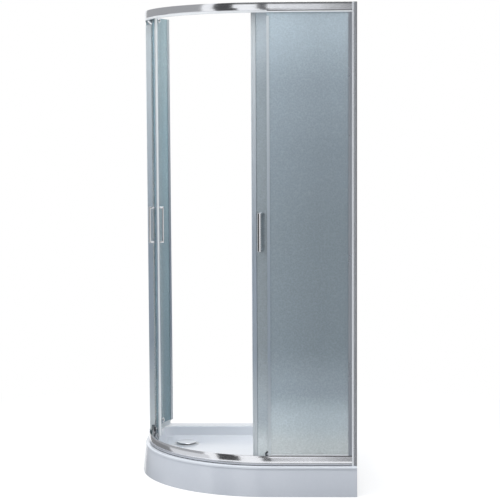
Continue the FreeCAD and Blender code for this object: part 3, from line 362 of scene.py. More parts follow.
# Each finish: its name, dark and light colour, lowest and highest roughness, how fine the grain is, how deep
# in metres, its scale along the height (1 is even, less draws it out), how fine the soft patches are, and
# values on the shader itself.
GRAINED = {
    "acrylic": ("acrylic", (226, 231, 238), (234, 238, 245), (0.12, 0.20), 60, 3e-5, 1, 5, COAT),
    # The apron is the tray's acrylic painted darker: painted shade on the front face, which gets less light.
    "apron": ("apron_acrylic_painted_shade", (213, 218, 226), (221, 225, 233), (0.14, 0.22), 60, 3e-5, 1, 5, COAT),
    "rail": ("polished_rail", (234, 236, 241), (240, 242, 246), (0.10, 0.15), 900, 6e-6, 1, 9, METAL),
    "satin_lip": ("satin_lip", (214, 217, 224), (226, 229, 235), (0.42, 0.50), 1300, 1e-5, 1, 9, METAL),
    "profile": ("drawn_profile", (208, 212, 218), (219, 223, 228), (0.16, 0.22), 1500, 1e-5, 0.02, 7, METAL),
    "post": ("satin_post", (178, 184, 194), (190, 196, 205), (0.26, 0.34), 1500, 1e-5, 0.02, 7, METAL),
    # The profiles' sides towards the wall: the drawn metal painted darker, as painted shade where less light
    # falls.
    "painted_shade_profile_side": ("painted_shade_profile_side", (128, 131, 136), (142, 145, 150), (0.34, 0.44), 1500, 1e-5, 0.02, 7, METAL),
    "bead": ("pale_bead", (240, 243, 246), (248, 250, 252), (0.22, 0.30), 500, 2e-5, 1, 12, {}),
    "chrome": ("chrome", (214, 216, 220), (226, 228, 231), (0.03, 0.07), 500, 4e-6, 1, 25, METAL),
    "steel": ("steel", (178, 180, 184), (198, 200, 204), (0.22, 0.34), 1200, 2e-5, 1, 40, METAL),
    "galvanised": ("galvanised", (150, 154, 160), (196, 200, 204), (0.30, 0.48), 45, 6e-5, 1, 14, ZINC),
    "black_plastic": ("black_plastic", (26, 27, 29), (40, 41, 43), (0.42, 0.55), 900, 8e-5, 1, 5, {}),
    "pipe_plastic": ("pipe_plastic", (205, 208, 210), (221, 223, 225), (0.30, 0.40), 700, 3e-5, 1, 5, {}),
    "cast_block": ("cast_block", (120, 124, 129), (140, 144, 149), (0.45, 0.58), 700, 6e-5, 1, 5, {}),
    "rubber": ("rubber", (28, 28, 29), (44, 44, 45), (0.60, 0.75), 900, 6e-5, 1, 5, {}),
    "wheel": ("wheel_plastic", (44, 47, 51), (66, 70, 75), (0.26, 0.36), 1300, 3e-5, 1, 5, {}),
    "board": ("board", (128, 102, 72), (190, 164, 126), (0.65, 0.80), 160, 2.5e-4, 1, 5, {}),
    "magnet": ("magnet_strip", (250, 253, 254), (254, 255, 255), (0.24, 0.34), 260, 4e-5, 0.03, 5, {}),
    "glass_edge": ("polished_glass_edge", (150, 178, 184), (172, 198, 204), (0.10, 0.18), 300, 2e-5, 1, 5,
                   GLASS_EDGE),
}

# Painted light and shade on the frosted panes: tones, each at a share of the height from the tray to the top
# rail, paler where more light reaches the pane.
FIXED_PAINTED_SHADING = [
    (0.04, (250, 255, 255)), (0.10, (240, 250, 255)), (0.17, (204, 216, 224)), (0.27, (182, 195, 203)),
    (0.50, (182, 195, 203)), (0.66, (188, 201, 210)), (0.80, (200, 213, 222)), (0.96, (228, 241, 249)),
]
RIGHT_DOOR_PAINTED_SHADING = [
    (0.04, (250, 255, 255)), (0.11, (200, 210, 217)), (0.27, (166, 176, 182)), (0.50, (166, 176, 182)),
    (0.80, (178, 189, 196)), (0.96, (216, 227, 235)),
]
LEFT_DOOR_PAINTED_SHADING = [
    (0.03, (146, 164, 172)), (0.12, (148, 166, 174)), (0.45, (180, 200, 208)), (0.68, (206, 230, 238)),
    (0.90, (236, 252, 255)),
]


def make_materials():
    """Every finish on the enclosure."""
    made = {key: grained(*row) for key, row in GRAINED.items()}
    made["seal"] = clear_seal()
    # The panes share one frosted glass, each copy with its own painted light and shade.
    made["fixed_glass"] = frosted("frosted_fixed_glass", FIXED_PAINTED_SHADING, 1.15)
    made["door_glass"] = frosted("frosted_door_glass", RIGHT_DOOR_PAINTED_SHADING, 1.0)
    made["left_door_glass"] = frosted("frosted_left_door_glass", LEFT_DOOR_PAINTED_SHADING, 1.0)
    return made


# ---------------------------------------------------------------- dress the CAD nodes

FINISH = {
    "tray_shell": "acrylic", "front_apron": "apron", "apron_clips": "galvanised", "support_board": "board",
    "support_frame": "galvanised", "foot_pads": "black_plastic", "foot_studs": "galvanised",
    "waste_trap": "pipe_plastic", "waste_gasket": "rubber", "waste_flange": "pipe_plastic",
    "waste_cover": "chrome", "bottom_rail": "rail", "top_rail": "rail", "wall_profile": "profile",
    "post": "post", "profile_plug": "pipe_plastic", "post_screws": "steel", "rail_joiners": "cast_block",
    "fixed_glass": "fixed_glass", "door_glass": "door_glass", "edge_seal": "seal", "leading_seal": "seal",
    "trailing_seal": "seal", "bottom_wiper": "seal", "glazing_gaskets": "seal", "outer_handle": "chrome",
    "inner_handle": "chrome", "handle_studs": "steel", "handle_washers": "seal", "roller_axles": "steel",
    "roller_caps": "chrome", "top_lead_wheel": "wheel", "top_trail_wheel": "wheel",
    "bottom_lead_wheel": "wheel", "bottom_trail_wheel": "wheel", "door_stop": "rubber",
}


def dress_nodes(materials):
    """Give every carried-over CAD node its finish."""
    for name, thing in NODES.items():
        key = name.removeprefix("right_").removeprefix("left_")
        mesh = thing.data
        mesh.materials.clear()
        mesh.materials.append(materials[FINISH[key]])


# ---------------------------------------------------------------- outlines and meshes

NEARLY_STRAIGHT = math.radians(160)
MOST_OF_EDGE = 0.45


def rounded_corner(before, corner, after, radius, steps):
    """The points that round one corner; a nearly straight one keeps its single point."""
    corner = Vector(corner)
    back = Vector(before) - corner
    ahead = Vector(after) - corner
    opening = back.angle(ahead)
    if opening > NEARLY_STRAIGHT:
        return [tuple(corner)]
    trim = min(radius / math.tan(opening / 2), back.length * MOST_OF_EDGE, ahead.length * MOST_OF_EDGE)
    start = corner + back.normalized() * trim
    finish = corner + ahead.normalized() * trim
    points = []
    for step in range(steps + 1):
        share = step / steps
        point = start * (1 - share) ** 2 + corner * (2 * share * (1 - share)) + finish * share ** 2
        points.append(tuple(point))
    return points


def soften(corners, radius, steps=3):
    """Round each clear corner of a closed outline of flat points."""
    rounded = []
    for index, corner in enumerate(corners):
        after = corners[(index + 1) % len(corners)]
        rounded += rounded_corner(corners[index - 1], corner, after, radius, steps)
    return rounded


def shrink(corners, amount):
    """Move a closed outline of flat points inwards by an amount."""
    area = sum(a[0] * b[1] - b[0] * a[1] for a, b in zip(corners, corners[1:] + corners[:1]))
    turn = 1 if area > 0 else -1
    moved = []
    count = len(corners)
    for index in range(count):
        corner = Vector(corners[index])
        before = (corner - Vector(corners[index - 1])).normalized()
        after = (Vector(corners[(index + 1) % count]) - corner).normalized()
        first = Vector((-before.y, before.x)) * turn
        second = Vector((-after.y, after.x)) * turn
        both = first + second
        moved.append(tuple(corner + both * (amount / max(both.dot(first), 0.2))))
    return moved


def skin(build, rings, closed=True, capped=False):
    """Join rings of points, one after another, with four-sided faces."""
    rows = [[build.verts.new(point) for point in ring] for ring in rings]
    for lower, upper in zip(rows, rows[1:]):
        count = len(lower)
        for index in range(count if closed else count - 1):
            after = (index + 1) % count
            build.faces.new((lower[index], lower[after], upper[after], upper[index]))
    if capped:
        build.faces.new(rows[0])
        build.faces.new(rows[-1])
    return rows


def long_faces(build, row):
    """The four-sided faces of a bar, each with the places in the outline that it runs along."""
    for made in build.faces:
        if len(made.verts) == 4:
            yield made, {row.index(vertex) for vertex in made.verts if vertex in row}


def for_side(side, points):
    """Points of a right piece, or of its left twin, mirrored in the plane x = y."""
    return points if side == "right" else [(y, x, z) for x, y, z in points]


def smooth(mesh, sharp):
    """Shade a mesh smooth, with the edges from an angle on kept crisp."""
    mesh.shade_smooth()
    mesh.set_sharp_from_angle(angle=math.radians(sharp))


def finish_piece(name, build, body, nodes, slot, *materials, sharp=CRISP):
    """Turn what was built into a smooth piece that rides on a body and stands for CAD nodes."""
    bmesh.ops.remove_doubles(build, verts=build.verts, dist=0.01 * MM)
    bmesh.ops.recalc_face_normals(build, faces=build.faces)
    mesh = mesh_from(build, name)
    smooth(mesh, sharp)
    for material in materials:
        mesh.materials.append(material)
    piece = place_object(name, mesh)
    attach(piece, body)
    if nodes:
        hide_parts(*nodes)
    return piece


def pierce(piece, rods, sharp=CRISP):
    """Bore round holes, each given by a middle, a direction, a radius and a length."""
    build = bmesh.new()
    for middle, along, radius, length in rods:
        turn = Vector((0, 0, 1)).rotation_difference(Vector(along)).to_matrix().to_4x4()
        bmesh.ops.create_cone(build, segments=32, cap_ends=True, radius1=radius, radius2=radius,
                              depth=length, matrix=Matrix.Translation(middle) @ turn)
    cutter = place_object("rods", mesh_from(build, "rods"))
    modifier = piece.modifiers.new("bores", "BOOLEAN")
    modifier.operation = "DIFFERENCE"
    modifier.solver = "EXACT"
    modifier.object = cutter
    bpy.context.view_layer.update()
    whole = piece.evaluated_get(bpy.context.evaluated_depsgraph_get())
    bored = bpy.data.meshes.new_from_object(whole)
    piece.modifiers.clear()
    bpy.data.objects.remove(cutter)
    piece.data = bored
    smooth(bored, sharp)


# ---------------------------------------------------------------- tray

def tray_loop(front, wall, corner, level):
    """The tray's plan outline: front edge and wall edge, measured from the middle, and wall corners."""
    def arc(middle_x, middle_y, radius, start, finish, count):
        for step in range(count + 1):
            turn = math.radians(start + (finish - start) * step / count)
            yield middle_x + radius * math.cos(turn), middle_y + radius * math.sin(turn), level
    near = wall - corner
    far = corner - front
    return [
        *arc(near, far, corner, 0, -90, CORNER_STEPS),
        *arc(TRAY_BEND, TRAY_BEND, front + TRAY_BEND, -90, -180, TRAY_STEPS),
        *arc(far, near, corner, 180, 90, CORNER_STEPS),
        *arc(near, near, corner, 90, 0, CORNER_STEPS),
    ]


def floor_with_hole(build, ring, level):
    """A flat floor between a ring and the round waste hole; gives the hole's rim."""
    rim = []
    for index in range(HOLE_STEPS):
        turn = math.tau * index / HOLE_STEPS
        across = WASTE[0] + WASTE_HOLE * math.cos(turn)
        ahead = WASTE[1] + WASTE_HOLE * math.sin(turn)
        rim.append(build.verts.new((across, ahead, level)))
    edges = []
    for loop in (ring, rim):
        for index, vertex in enumerate(loop):
            other = loop[(index + 1) % len(loop)]
            edges.append(build.edges.get((vertex, other)) or build.edges.new((vertex, other)))
    bmesh.ops.triangle_fill(build, use_beauty=True, use_dissolve=False, edges=edges)
    return rim


def make_tray(acrylic):
    """The moulded shell: rounded lip, flat rim, sloping basin walls and a floor with its waste hole."""
    sharp = 0.0004
    lip = 0.011
    lip_round = 0.005
    lip_steps = 6
    lip_foot = TRAY_TOP - 0.010
    rim = 0.065
    slope = 0.018
    basin_corner = 0.127
    under_corners = (0.067, 0.049)
    basin = [
        (rim - 0.020, TRAY_TOP), (rim, TRAY_TOP), (rim + slope, FLOOR_TOP), (rim + slope + 0.040, FLOOR_TOP),
    ]
    line = [basin[0]]
    for index, radius in ((1, 0.006), (2, 0.010)):
        line += rounded_corner(basin[index - 1], basin[index], basin[index + 1], radius, 8)
    inner = HALF - lip - TRAY_SKIN
    build = bmesh.new()
    rings = [
        tray_loop(inner, HALF - TRAY_SKIN, sharp, lip_foot),
        tray_loop(HALF - lip, HALF, sharp, lip_foot),
        tray_loop(HALF - lip, HALF, sharp, TRAY_TOP - lip_round),
    ]
    for step in range(1, lip_steps + 1):
        turn = math.radians(90 * step / lip_steps)
        inset = lip + lip_round * (1 - math.cos(turn))
        rings.append(tray_loop(HALF - inset, HALF, sharp, TRAY_TOP - lip_round * (1 - math.sin(turn))))
    for inset, level in line:
        edge = HALF - inset
        rings.append(tray_loop(edge, edge, basin_corner - inset, level))
    rows = skin(build, rings)
    upper = floor_with_hole(build, rows[-1], FLOOR_TOP)
    wall_top = HALF - rim + TRAY_SKIN
    wall_foot = HALF - rim - slope + TRAY_SKIN
    under = skin(build, [
        tray_loop(inner, HALF - TRAY_SKIN, sharp, lip_foot),
        tray_loop(inner, HALF - TRAY_SKIN, sharp, TRAY_TOP - TRAY_SKIN),
        tray_loop(wall_top, wall_top, under_corners[0], TRAY_TOP - TRAY_SKIN),
        tray_loop(wall_foot, wall_foot, under_corners[1], FLOOR_TOP - TRAY_SKIN),
    ])
    lower = floor_with_hole(build, under[-1], FLOOR_TOP - TRAY_SKIN)
    for index in range(HOLE_STEPS):
        after = (index + 1) % HOLE_STEPS
        build.faces.new((upper[index], upper[after], lower[after], lower[index]))
    finish_piece("tray", build, "enclosure", ["tray_shell"], "acrylic", acrylic)


def make_apron(acrylic):
    """The skirt that leans out to the floor, its long edges rounded."""
    lean = 0.013
    skirt = 0.004
    high = 0.1096
    section = soften([(0.0, 0.0), (lean, high), (lean + skirt, high), (skirt, 0.0)], 0.0014)
    sweep("apron", section, HALF, TRAY_BEND, HALF, ["front_apron"], "acrylic", acrylic, end_round=0.0034)


# ---------------------------------------------------------------- rails and wall profiles

def sweep(name, section, face, bend, end, nodes, slot, material, end_round=0.0):
    """Run a section of (depth, level) points along the front: straight, round the corner, straight."""
    radius = face + bend
    places = [((end, -face), (0, 1))]
    for index in range(BEND_STEPS + 1):
        turn = math.radians(90 * index / BEND_STEPS)
        inwards = (math.sin(turn), math.cos(turn))
        places.append(((bend - radius * inwards[0], bend - radius * inwards[1]), inwards))
    places.append(((-face, end), (1, 0)))
    build = bmesh.new()
    rings = []
    for spot, inwards in places:
        rings.append([(spot[0] + inwards[0] * depth, spot[1] + inwards[1] * depth, level)
                      for depth, level in section])
    rows = skin(build, rings, capped=True)
    if end_round:
        half = len(section) // 2
        ends = []
        for row in (rows[0], rows[-1]):
            for first, second in zip(row[:half], row[1:half]):
                ends.append(build.edges.get((first, second)))
        bmesh.ops.bevel(build, geom=ends, offset=end_round, segments=5, profile=0.5, affect="EDGES")
    return finish_piece(name, build, "enclosure", nodes, slot, material)


def bulged(low, high):
    """The polished face's shallow bulge, from its lower edge to its upper one."""
    points = []
    for step in range(BULGE_STEPS + 1):
        share = step / BULGE_STEPS * 2 - 1
        points.append((FACE_BULGE * share * share, low + (high - low) * step / BULGE_STEPS))
    return points


OUTWARD = 0.7


def finish_lip(piece, low, high, finish):
    """Give the outward faces between two levels another finish."""
    piece.data.materials.append(finish)
    index = len(piece.data.materials) - 1
    for made in piece.data.polygons:
        middle = made.center
        out = Vector((min(middle.x - FRAME_BEND, 0), min(middle.y - FRAME_BEND, 0), 0)).normalized()
        if low < middle.z < high and made.normal.dot(out) > OUTWARD:
            made.material_index = index


# Depths behind a rail's face: its skin, the slot for the glass, and the back of the ledge.
RAIL_SKIN = 0.0032
SLOT_FRONT = 0.0096
SLOT_BACK = 0.0111
LEDGE_BACK = 0.0217


def make_rails(rail, satin, bead, rubber):
    """Both curved rails, with their steps, slots and ledges, and edges broken as drawn metal has them."""
    base = TRAY_TOP
    top = BOTTOM_RAIL_TOP
    foot_line = base + 0.0026
    lip_top = base + 0.011
    face_low = base + 0.0126
    well = base + 0.004
    shelf = base + 0.0318
    bottom = [
        (0.0018, base), (0.0018, foot_line), (0.001, foot_line), (0.001, lip_top),
        (0.0024, lip_top), (0.0024, face_low), *bulged(face_low, top),
        (RAIL_SKIN, top), (RAIL_SKIN, well), (SLOT_FRONT, well), (SLOT_FRONT, shelf),
        (LEDGE_BACK, shelf), (LEDGE_BACK, base + 0.0286), (0.0202, base + 0.0286), (0.0202, base + 0.0298),
        (SLOT_BACK, base + 0.0298), (SLOT_BACK, base + 0.002), (LEDGE_BACK, base + 0.002), (LEDGE_BACK, base),
    ]
    piece = sweep("bottom_curved_rail", soften(bottom, 0.0003, 2), FACE, FRAME_BEND, RAIL_END,
                  ["bottom_rail"], "polished_rail", rail)
    finish_lip(piece, foot_line, base + 0.0112, satin)
    # The lip's lowest band is dark rubber: partly a sealant line, partly painted shadow where the rail sits on
    # the tray.
    finish_lip(piece, base, foot_line, rubber)
    low = TOP_LIP_UNDER
    ledge = low + 0.0092
    under_ledge = ledge - 0.002
    face_low = low + 0.009
    cap_under = OVERALL - 0.0025
    upper = [
        (0.002, low), (0.002, face_low), *bulged(face_low, OVERALL),
        (0.034, OVERALL), (0.034, OVERALL - 0.0055), (0.0325, OVERALL - 0.0055), (0.0325, cap_under),
        (RAIL_SKIN, cap_under), (RAIL_SKIN, ledge), (LEDGE_BACK, ledge), (LEDGE_BACK, under_ledge),
        (SLOT_BACK, under_ledge), (SLOT_BACK, low), (SLOT_FRONT, low), (SLOT_FRONT, under_ledge),
        (0.0035, under_ledge), (0.0035, low),
    ]
    piece = sweep("top_curved_rail", soften(upper, 0.0003, 2), FACE, FRAME_BEND, RAIL_END,
                  ["top_rail"], "polished_rail", rail)
    finish_lip(piece, low, low + 0.0088, bead)


def make_glazing_beads(bead, rubber):
    """The beads that close the rails against the fixed glass: a pale lip, and a dark line beside the rail that
    is partly the gasket and partly painted shadow in the gap.
    """
    low = TOP_LIP_UNDER
    top = BOTTOM_RAIL_TOP
    above = [
        (0.0019, low + 0.0001), (0.0006, low + 0.0005), (0.0006, low + 0.0053), (0.0013, low + 0.0056),
        (0.0013, low + 0.0088), (0.0019, low + 0.0088),
    ]
    below = [
        (0.0012, top - 0.0030), (0.0005, top - 0.0027), (0.0005, top + 0.0004), (0.0030, top + 0.0004),
        (0.0034, top + 0.0045), (0.0048, top + 0.0048), (0.0048, top + 0.0001), (0.0012, top + 0.0001),
    ]
    for side in SIDES:
        # The dark faces beside the rail: partly gasket, partly painted shadow in the gap.
        for place, section, dark in (("upper", above, {3, 4}), ("lower", below, {0, 1, 2})):
            build = bmesh.new()
            rings = [for_side(side, [(x, depth - FACE, level) for depth, level in section])
                     for x in (FIXED_START, RAIL_END)]
            rows = skin(build, rings, capped=True)
            for made, spots in long_faces(build, rows[0]):
                if min(spots) in dark and max(spots) - min(spots) == 1:
                    made.material_index = 1
            finish_piece(f"{side}_{place}_bead", build, "enclosure", [], "seal", bead, rubber)


def upright(build, side, outline, low, high):
    """A straight upright bar with a flat outline; gives its lower and upper ring."""
    rings = [for_side(side, [(x, y, level) for x, y in outline]) for level in (low, high)]
    return skin(build, rings, capped=True)


def make_wall_profiles(drawn, painted_shade_side):
    """The U profiles on the walls, their outer corner rounded, with wall holes and lock-screw holes, and
    painted shade on the faces turned towards the wall.
    """
    near = -FACE
    far = 0.0246 - FACE
    slant = 0.0011
    strip = 0.0066
    wall = 0.0018
    back = 0.0024
    radius = 0.004
    steps = 16
    crisp = 8
    spacing = 0.8
    corner = []
    for step in range(steps + 1):
        turn = math.radians(90 * step / steps)
        corner.append((HALF - radius + radius * math.sin(turn), near + radius - radius * math.cos(turn)))
    outline = [
        (RAIL_END, near + slant), (RAIL_END + strip, near), *corner, (HALF, far), (RAIL_END, far),
        (RAIL_END, far - wall), (HALF - back, far - wall), (HALF - back, near + 0.0038),
        (HALF - 0.0044, near + wall), (RAIL_END, near + wall),
    ]
    middle = (TRAY_TOP + OVERALL) / 2
    for side in SIDES:
        build = bmesh.new()
        upright(build, side, outline, TRAY_TOP, OVERALL)
        bar = finish_piece(f"{side}_wall_bar", build, "enclosure", [f"{side}_wall_profile"], "polished_rail",
                           drawn, painted_shade_side, sharp=crisp)
        out = Vector(for_side(side, [(1, 0, 0)])[0])
        # Faces turned towards the wall get the darker painted shade.
        for made in bar.data.polygons:
            if made.normal.dot(out) > 0.25:
                made.material_index = 1
        rods = []
        for level in (middle - spacing, middle, middle + spacing):
            wall_hole = (HALF - back / 2, near + 0.0123, level)
            lock_hole = (RAIL_END + 0.010, far - wall / 2, level + 0.036)
            for point, along, bore in ((wall_hole, (1, 0, 0), 0.0025), (lock_hole, (0, 1, 0), 0.0023)):
                rods.append((for_side(side, [point])[0], for_side(side, [along])[0], bore, 0.006))
        pierce(bar, rods, crisp)


# ---------------------------------------------------------------- glass

def make_sheet(name, spot, length, low, high, thickness, columns, body, node, face, edge):
    """A sheet of glass with polished, slightly broken edges. spot gives a place for (along, depth)."""
    arris = 0.0008
    build = bmesh.new()
    layers = []
    for depth, inset in ((0, arris), (arris, 0), (thickness - arris, 0), (thickness, arris)):
        rows = []
        for level in (low + inset, high - inset):
            row = []
            for step in range(columns + 1):
                along = inset + (length - 2 * inset) * step / columns
                x, y = spot(along, depth)
                row.append(build.verts.new((x, y, level)))
            rows.append(row)
        layers.append(rows)
    for rows in (layers[0], layers[-1]):
        for step in range(columns):
            build.faces.new((rows[0][step], rows[0][step + 1], rows[1][step + 1], rows[1][step]))
    for outer, inner in zip(layers, layers[1:]):
        for row in (0, 1):
            for step in range(columns):
                made = build.faces.new((outer[row][step], outer[row][step + 1],
                                        inner[row][step + 1], inner[row][step]))
                made.material_index = 1
        for step in (0, columns):
            made = build.faces.new((outer[0][step], outer[1][step], inner[1][step], inner[0][step]))
            made.material_index = 1
    return finish_piece(name, build, body, [node], "frosted_glass", face, edge, sharp=25)


def make_fixed_glass(face, edge):
    """The two flat panels between post and rails."""
    for side in SIDES:
        def spot(along, depth):
            x = FIXED_START + along
            y = FIXED_OFFSET - FACE + depth
            return (x, y) if side == "right" else (y, x)
        make_sheet(f"{side}_fixed_pane", spot, FIXED_LENGTH, FIXED_LOW, FIXED_HIGH, FIXED_GLASS, 1,
                   "enclosure", f"{side}_fixed_glass", face, edge)


def door_point(turn, radius, across=0.0):
    """A place by the right door's circle: an angle off -Y, a radius, and a distance to one side."""
    x = DOOR_CENTRE[0] + radius * math.sin(turn) + across * math.cos(turn)
    y = DOOR_CENTRE[1] - radius * math.cos(turn) + across * math.sin(turn)
    return x, y


def door_spot(side, turn, radius):
    """A place on a door's circle, an angle off -Y for the right door and a radius from its centre."""
    x, y = door_point(turn, radius)
    return (x, y) if side == "right" else (y, x)


def make_door_glass(faces, edge):
    """The two curved doors' glass, with the holes for rollers and handle studs."""
    axle_hole = 0.0063
    stud_hole = 0.004
    stud_rise = 0.073
    length = (GLASS_LEAD + GLASS_TRAIL) * TRACK
    holes = [(turn, level, axle_hole) for turn in (-ROLLER_ANGLE, ROLLER_ANGLE) for level in ROLLER_LEVELS]
    holes += [(HANDLE_ANGLE, HANDLE_LEVEL + rise, stud_hole) for rise in (-stud_rise, stud_rise)]
    for side in SIDES:
        def spot(along, depth):
            return door_spot(side, along / TRACK - GLASS_LEAD, TRACK + DOOR_GLASS / 2 - depth)
        pane = make_sheet(f"{side}_door_pane", spot, length, GLASS_LOW, GLASS_HIGH, DOOR_GLASS, DOOR_COLUMNS,
                          f"{side}_door", f"{side}_door_glass", faces[side], edge)
        centre = DOOR_CENTRE if side == "right" else DOOR_CENTRE[::-1]
        rods = []
        for turn, level, radius in holes:
            x, y = door_spot(side, turn, TRACK)
            rods.append(((x, y, level), (x - centre[0], y - centre[1], 0), radius, 0.02))
        pierce(pane, rods)


# ---------------------------------------------------------------- handles, seals, cover and caps

# Across a handle's bar: each place, and how far the outline is drawn in there, in millimetres.
HANDLE_ACROSS = [
    (-7.0, 1.2), (-6.85, 0.6), (-6.5, 0.2), (-6.0, 0.0), (-4.0, 0.0), (-2.0, 0.0), (0.0, 0.0),
    (2.0, 0.0), (4.0, 0.0), (6.0, 0.0), (6.5, 0.2), (6.85, 0.6), (7.0, 1.2),
]
CROWN = 0.0004
CROWN_MIDDLE = 0.8
CROWN_SPAN = 7


def make_handles(chrome):
    """Square D handles, their bars slightly crowned across and rounded along the edges."""
    end = HANDLE_LENGTH / 2
    gap = end - HANDLE_BAR
    flat = 0.004
    for side in SIDES:
        for face, seat, way in (("outer", TRACK + 0.0035, 1), ("inner", TRACK - 0.0036, -1)):
            tip = seat + way * HANDLE_REACH
            grip = tip - way * HANDLE_BAR
            near = seat + way * flat
            far = grip - way * flat
            corners = [
                (seat, -end), (near, -end), (far, -end), (tip, -end), (tip, flat - end),
                (tip, end - flat), (tip, end), (far, end), (near, end), (seat, end),
                (seat, gap), (near, gap), (far, gap), (grip, gap), (grip, gap - flat),
                (grip, flat - gap), (grip, -gap), (far, -gap), (near, -gap), (seat, -gap),
            ]
            rings = []
            for across, inset in HANDLE_ACROSS:
                crown = CROWN * ((across - CROWN_MIDDLE) / CROWN_SPAN) ** 2
                ring = []
                for radius, level in soften(shrink(corners, inset * MM), 0.0016):
                    front = max(0, (radius - grip) * way) / HANDLE_BAR
                    x, y = door_point(HANDLE_ANGLE, radius - way * crown * front, across * MM)
                    ring.append((x, y, HANDLE_LEVEL + level))
                rings.append(for_side(side, ring))
            build = bmesh.new()
            skin(build, rings, capped=True)
            finish_piece(f"{side}_{face}_pull", build, f"{side}_door", [f"{side}_{face}_handle"], "chrome",
                         chrome, sharp=50)


def make_leading_seals(clear, magnet):
    """The clear clips on the doors' meeting edges, each with a narrow pale magnet strip in the nose."""
    # In millimetres: along the glass from its edge, and depth from the middle of its thickness.
    nose = -7.0
    strip = (-2.6, 3.4)
    close = 0.1
    outline = soften([
        (nose, -6.0), (-1.5, -6.0), (-1.5, -4.2), (12.0, -4.2), (12.0, -2.7), (0.0, -2.7), (0.0, 2.7),
        (12.0, 2.7), (12.0, 4.2), (-1.5, 4.2), (-1.5, 6.0), (nose, 6.0), (nose, strip[1]), (nose, strip[0]),
    ], 0.8)
    on_strip = {
        index for index, (along, depth) in enumerate(outline)
        if along < nose + close and strip[0] - close < depth < strip[1] + close
    }
    edge_x, edge_y = door_point(-GLASS_LEAD, TRACK)
    ahead = math.cos(GLASS_LEAD)
    aside = math.sin(GLASS_LEAD)
    flat = [
        (edge_x + (along * ahead + depth * aside) * MM, edge_y + (-along * aside + depth * ahead) * MM)
        for along, depth in outline
    ]
    for side in SIDES:
        build = bmesh.new()
        rows = upright(build, side, flat, GLASS_LOW, GLASS_HIGH)
        for made, spots in long_faces(build, rows[0]):
            if spots <= on_strip:
                made.material_index = 1
        finish_piece(f"{side}_meeting_seal", build, f"{side}_door", [f"{side}_leading_seal"], "seal",
                     clear, magnet)


def turned(build, outline, place, steps):
    """Turn an outline of (radius, reach) points round an axis; place gives a point for (a, b, reach)."""
    rows = []
    for step in range(steps):
        turn = math.tau * step / steps
        rows.append([build.verts.new(place(radius * math.cos(turn), radius * math.sin(turn), reach))
                     for radius, reach in outline])
    for first, second in zip(rows, rows[1:] + rows[:1]):
        for step in range(len(outline) - 1):
            build.faces.new((first[step], first[step + 1], second[step + 1], second[step]))


def make_waste_cover(chrome, acrylic):
    """The domed cover of the waste on its pin: a white top in a polished rolled edge."""
    hub = 0.01 * MM
    dome = 0.0415
    dome_foot = 0.0872
    dome_rise = 0.0018
    steps = 8
    outline = [
        (hub, 0.071), (0.005, 0.071), (0.005, 0.0783), (0.010, 0.0783), (0.010, 0.085), (0.0425, 0.084),
        (0.0440, 0.0845), (0.0440, 0.0857), (0.0432, 0.0866),
    ]
    for step in range(steps + 1):
        share = step / steps
        outline.append((dome * (1 - share) + hub, dome_foot + dome_rise * math.sin(share * math.pi / 2)))
    build = bmesh.new()
    turned(build, outline, lambda a, b, level: (WASTE[0] + a, WASTE[1] + b, level), 72)
    piece = finish_piece("domed_cover", build, "cover", ["waste_cover"], "chrome", chrome, acrylic)
    for made in piece.data.polygons:
        if made.normal.z > 0.7 and made.center.z > 0.087:
            made.material_index = 1


def make_roller_caps(chrome):
    """The polished caps over the roller axles, on the doors' cabin side."""
    seat = 0.50135
    bore = 0.0031
    outline = [
        (bore, 0.0), (0.0118, 0.0), (0.0120, 0.0002), (0.0120, 0.0043), (0.0117, 0.0047), (0.0092, 0.0048),
        (0.0090, 0.0051), (0.0089, 0.0072), (0.0083, 0.0078), (0.0070, 0.0080), (bore, 0.0080), (bore, 0.0),
    ]
    for side in SIDES:
        build = bmesh.new()
        for turn in (-ROLLER_ANGLE, ROLLER_ANGLE):
            for level in ROLLER_LEVELS:
                def place(across, up, reach):
                    x, y = door_point(turn, seat - reach, across)
                    return for_side(side, [(x, y, level + up)])[0]
                turned(build, outline, place, 40)
        finish_piece(f"{side}_axle_caps", build, f"{side}_door", [f"{side}_roller_caps"], "chrome", chrome)


# ---------------------------------------------------------------- floor and light

WHITE = (1, 1, 1, 1)
FLOOR_TONE = (0.50, 0.50, 0.50, 1)
FLOOR_GLOW = 0.60
FLOOR_DROP = 0.0005
FADE_START = 0.9
FADE_END = 2.2
FILL_TONE = (0.93, 0.96, 1.0, 1)
FILL_STRENGTH = 0.66


def bare_tree(owner):
    """The empty node tree of a material or world."""
    owner.use_nodes = True
    owner.node_tree.nodes.clear()
    return owner.node_tree


def seen_by(tree, *rays):
    """A mask that is 1 for the named kinds of ray."""
    path = add(tree, "ShaderNodeLightPath")
    mask = path.outputs[rays[0]]
    for ray in rays[1:]:
        mask = math_node(tree, "MAXIMUM", mask, path.outputs[ray])
    return mask


def mix_shaders(tree, factor, first, second):
    """Two shaders mixed by a value."""
    sources = {0: factor, 1: first.outputs[0], 2: second.outputs[0]}
    return add(tree, "ShaderNodeMixShader", sources).outputs[0]


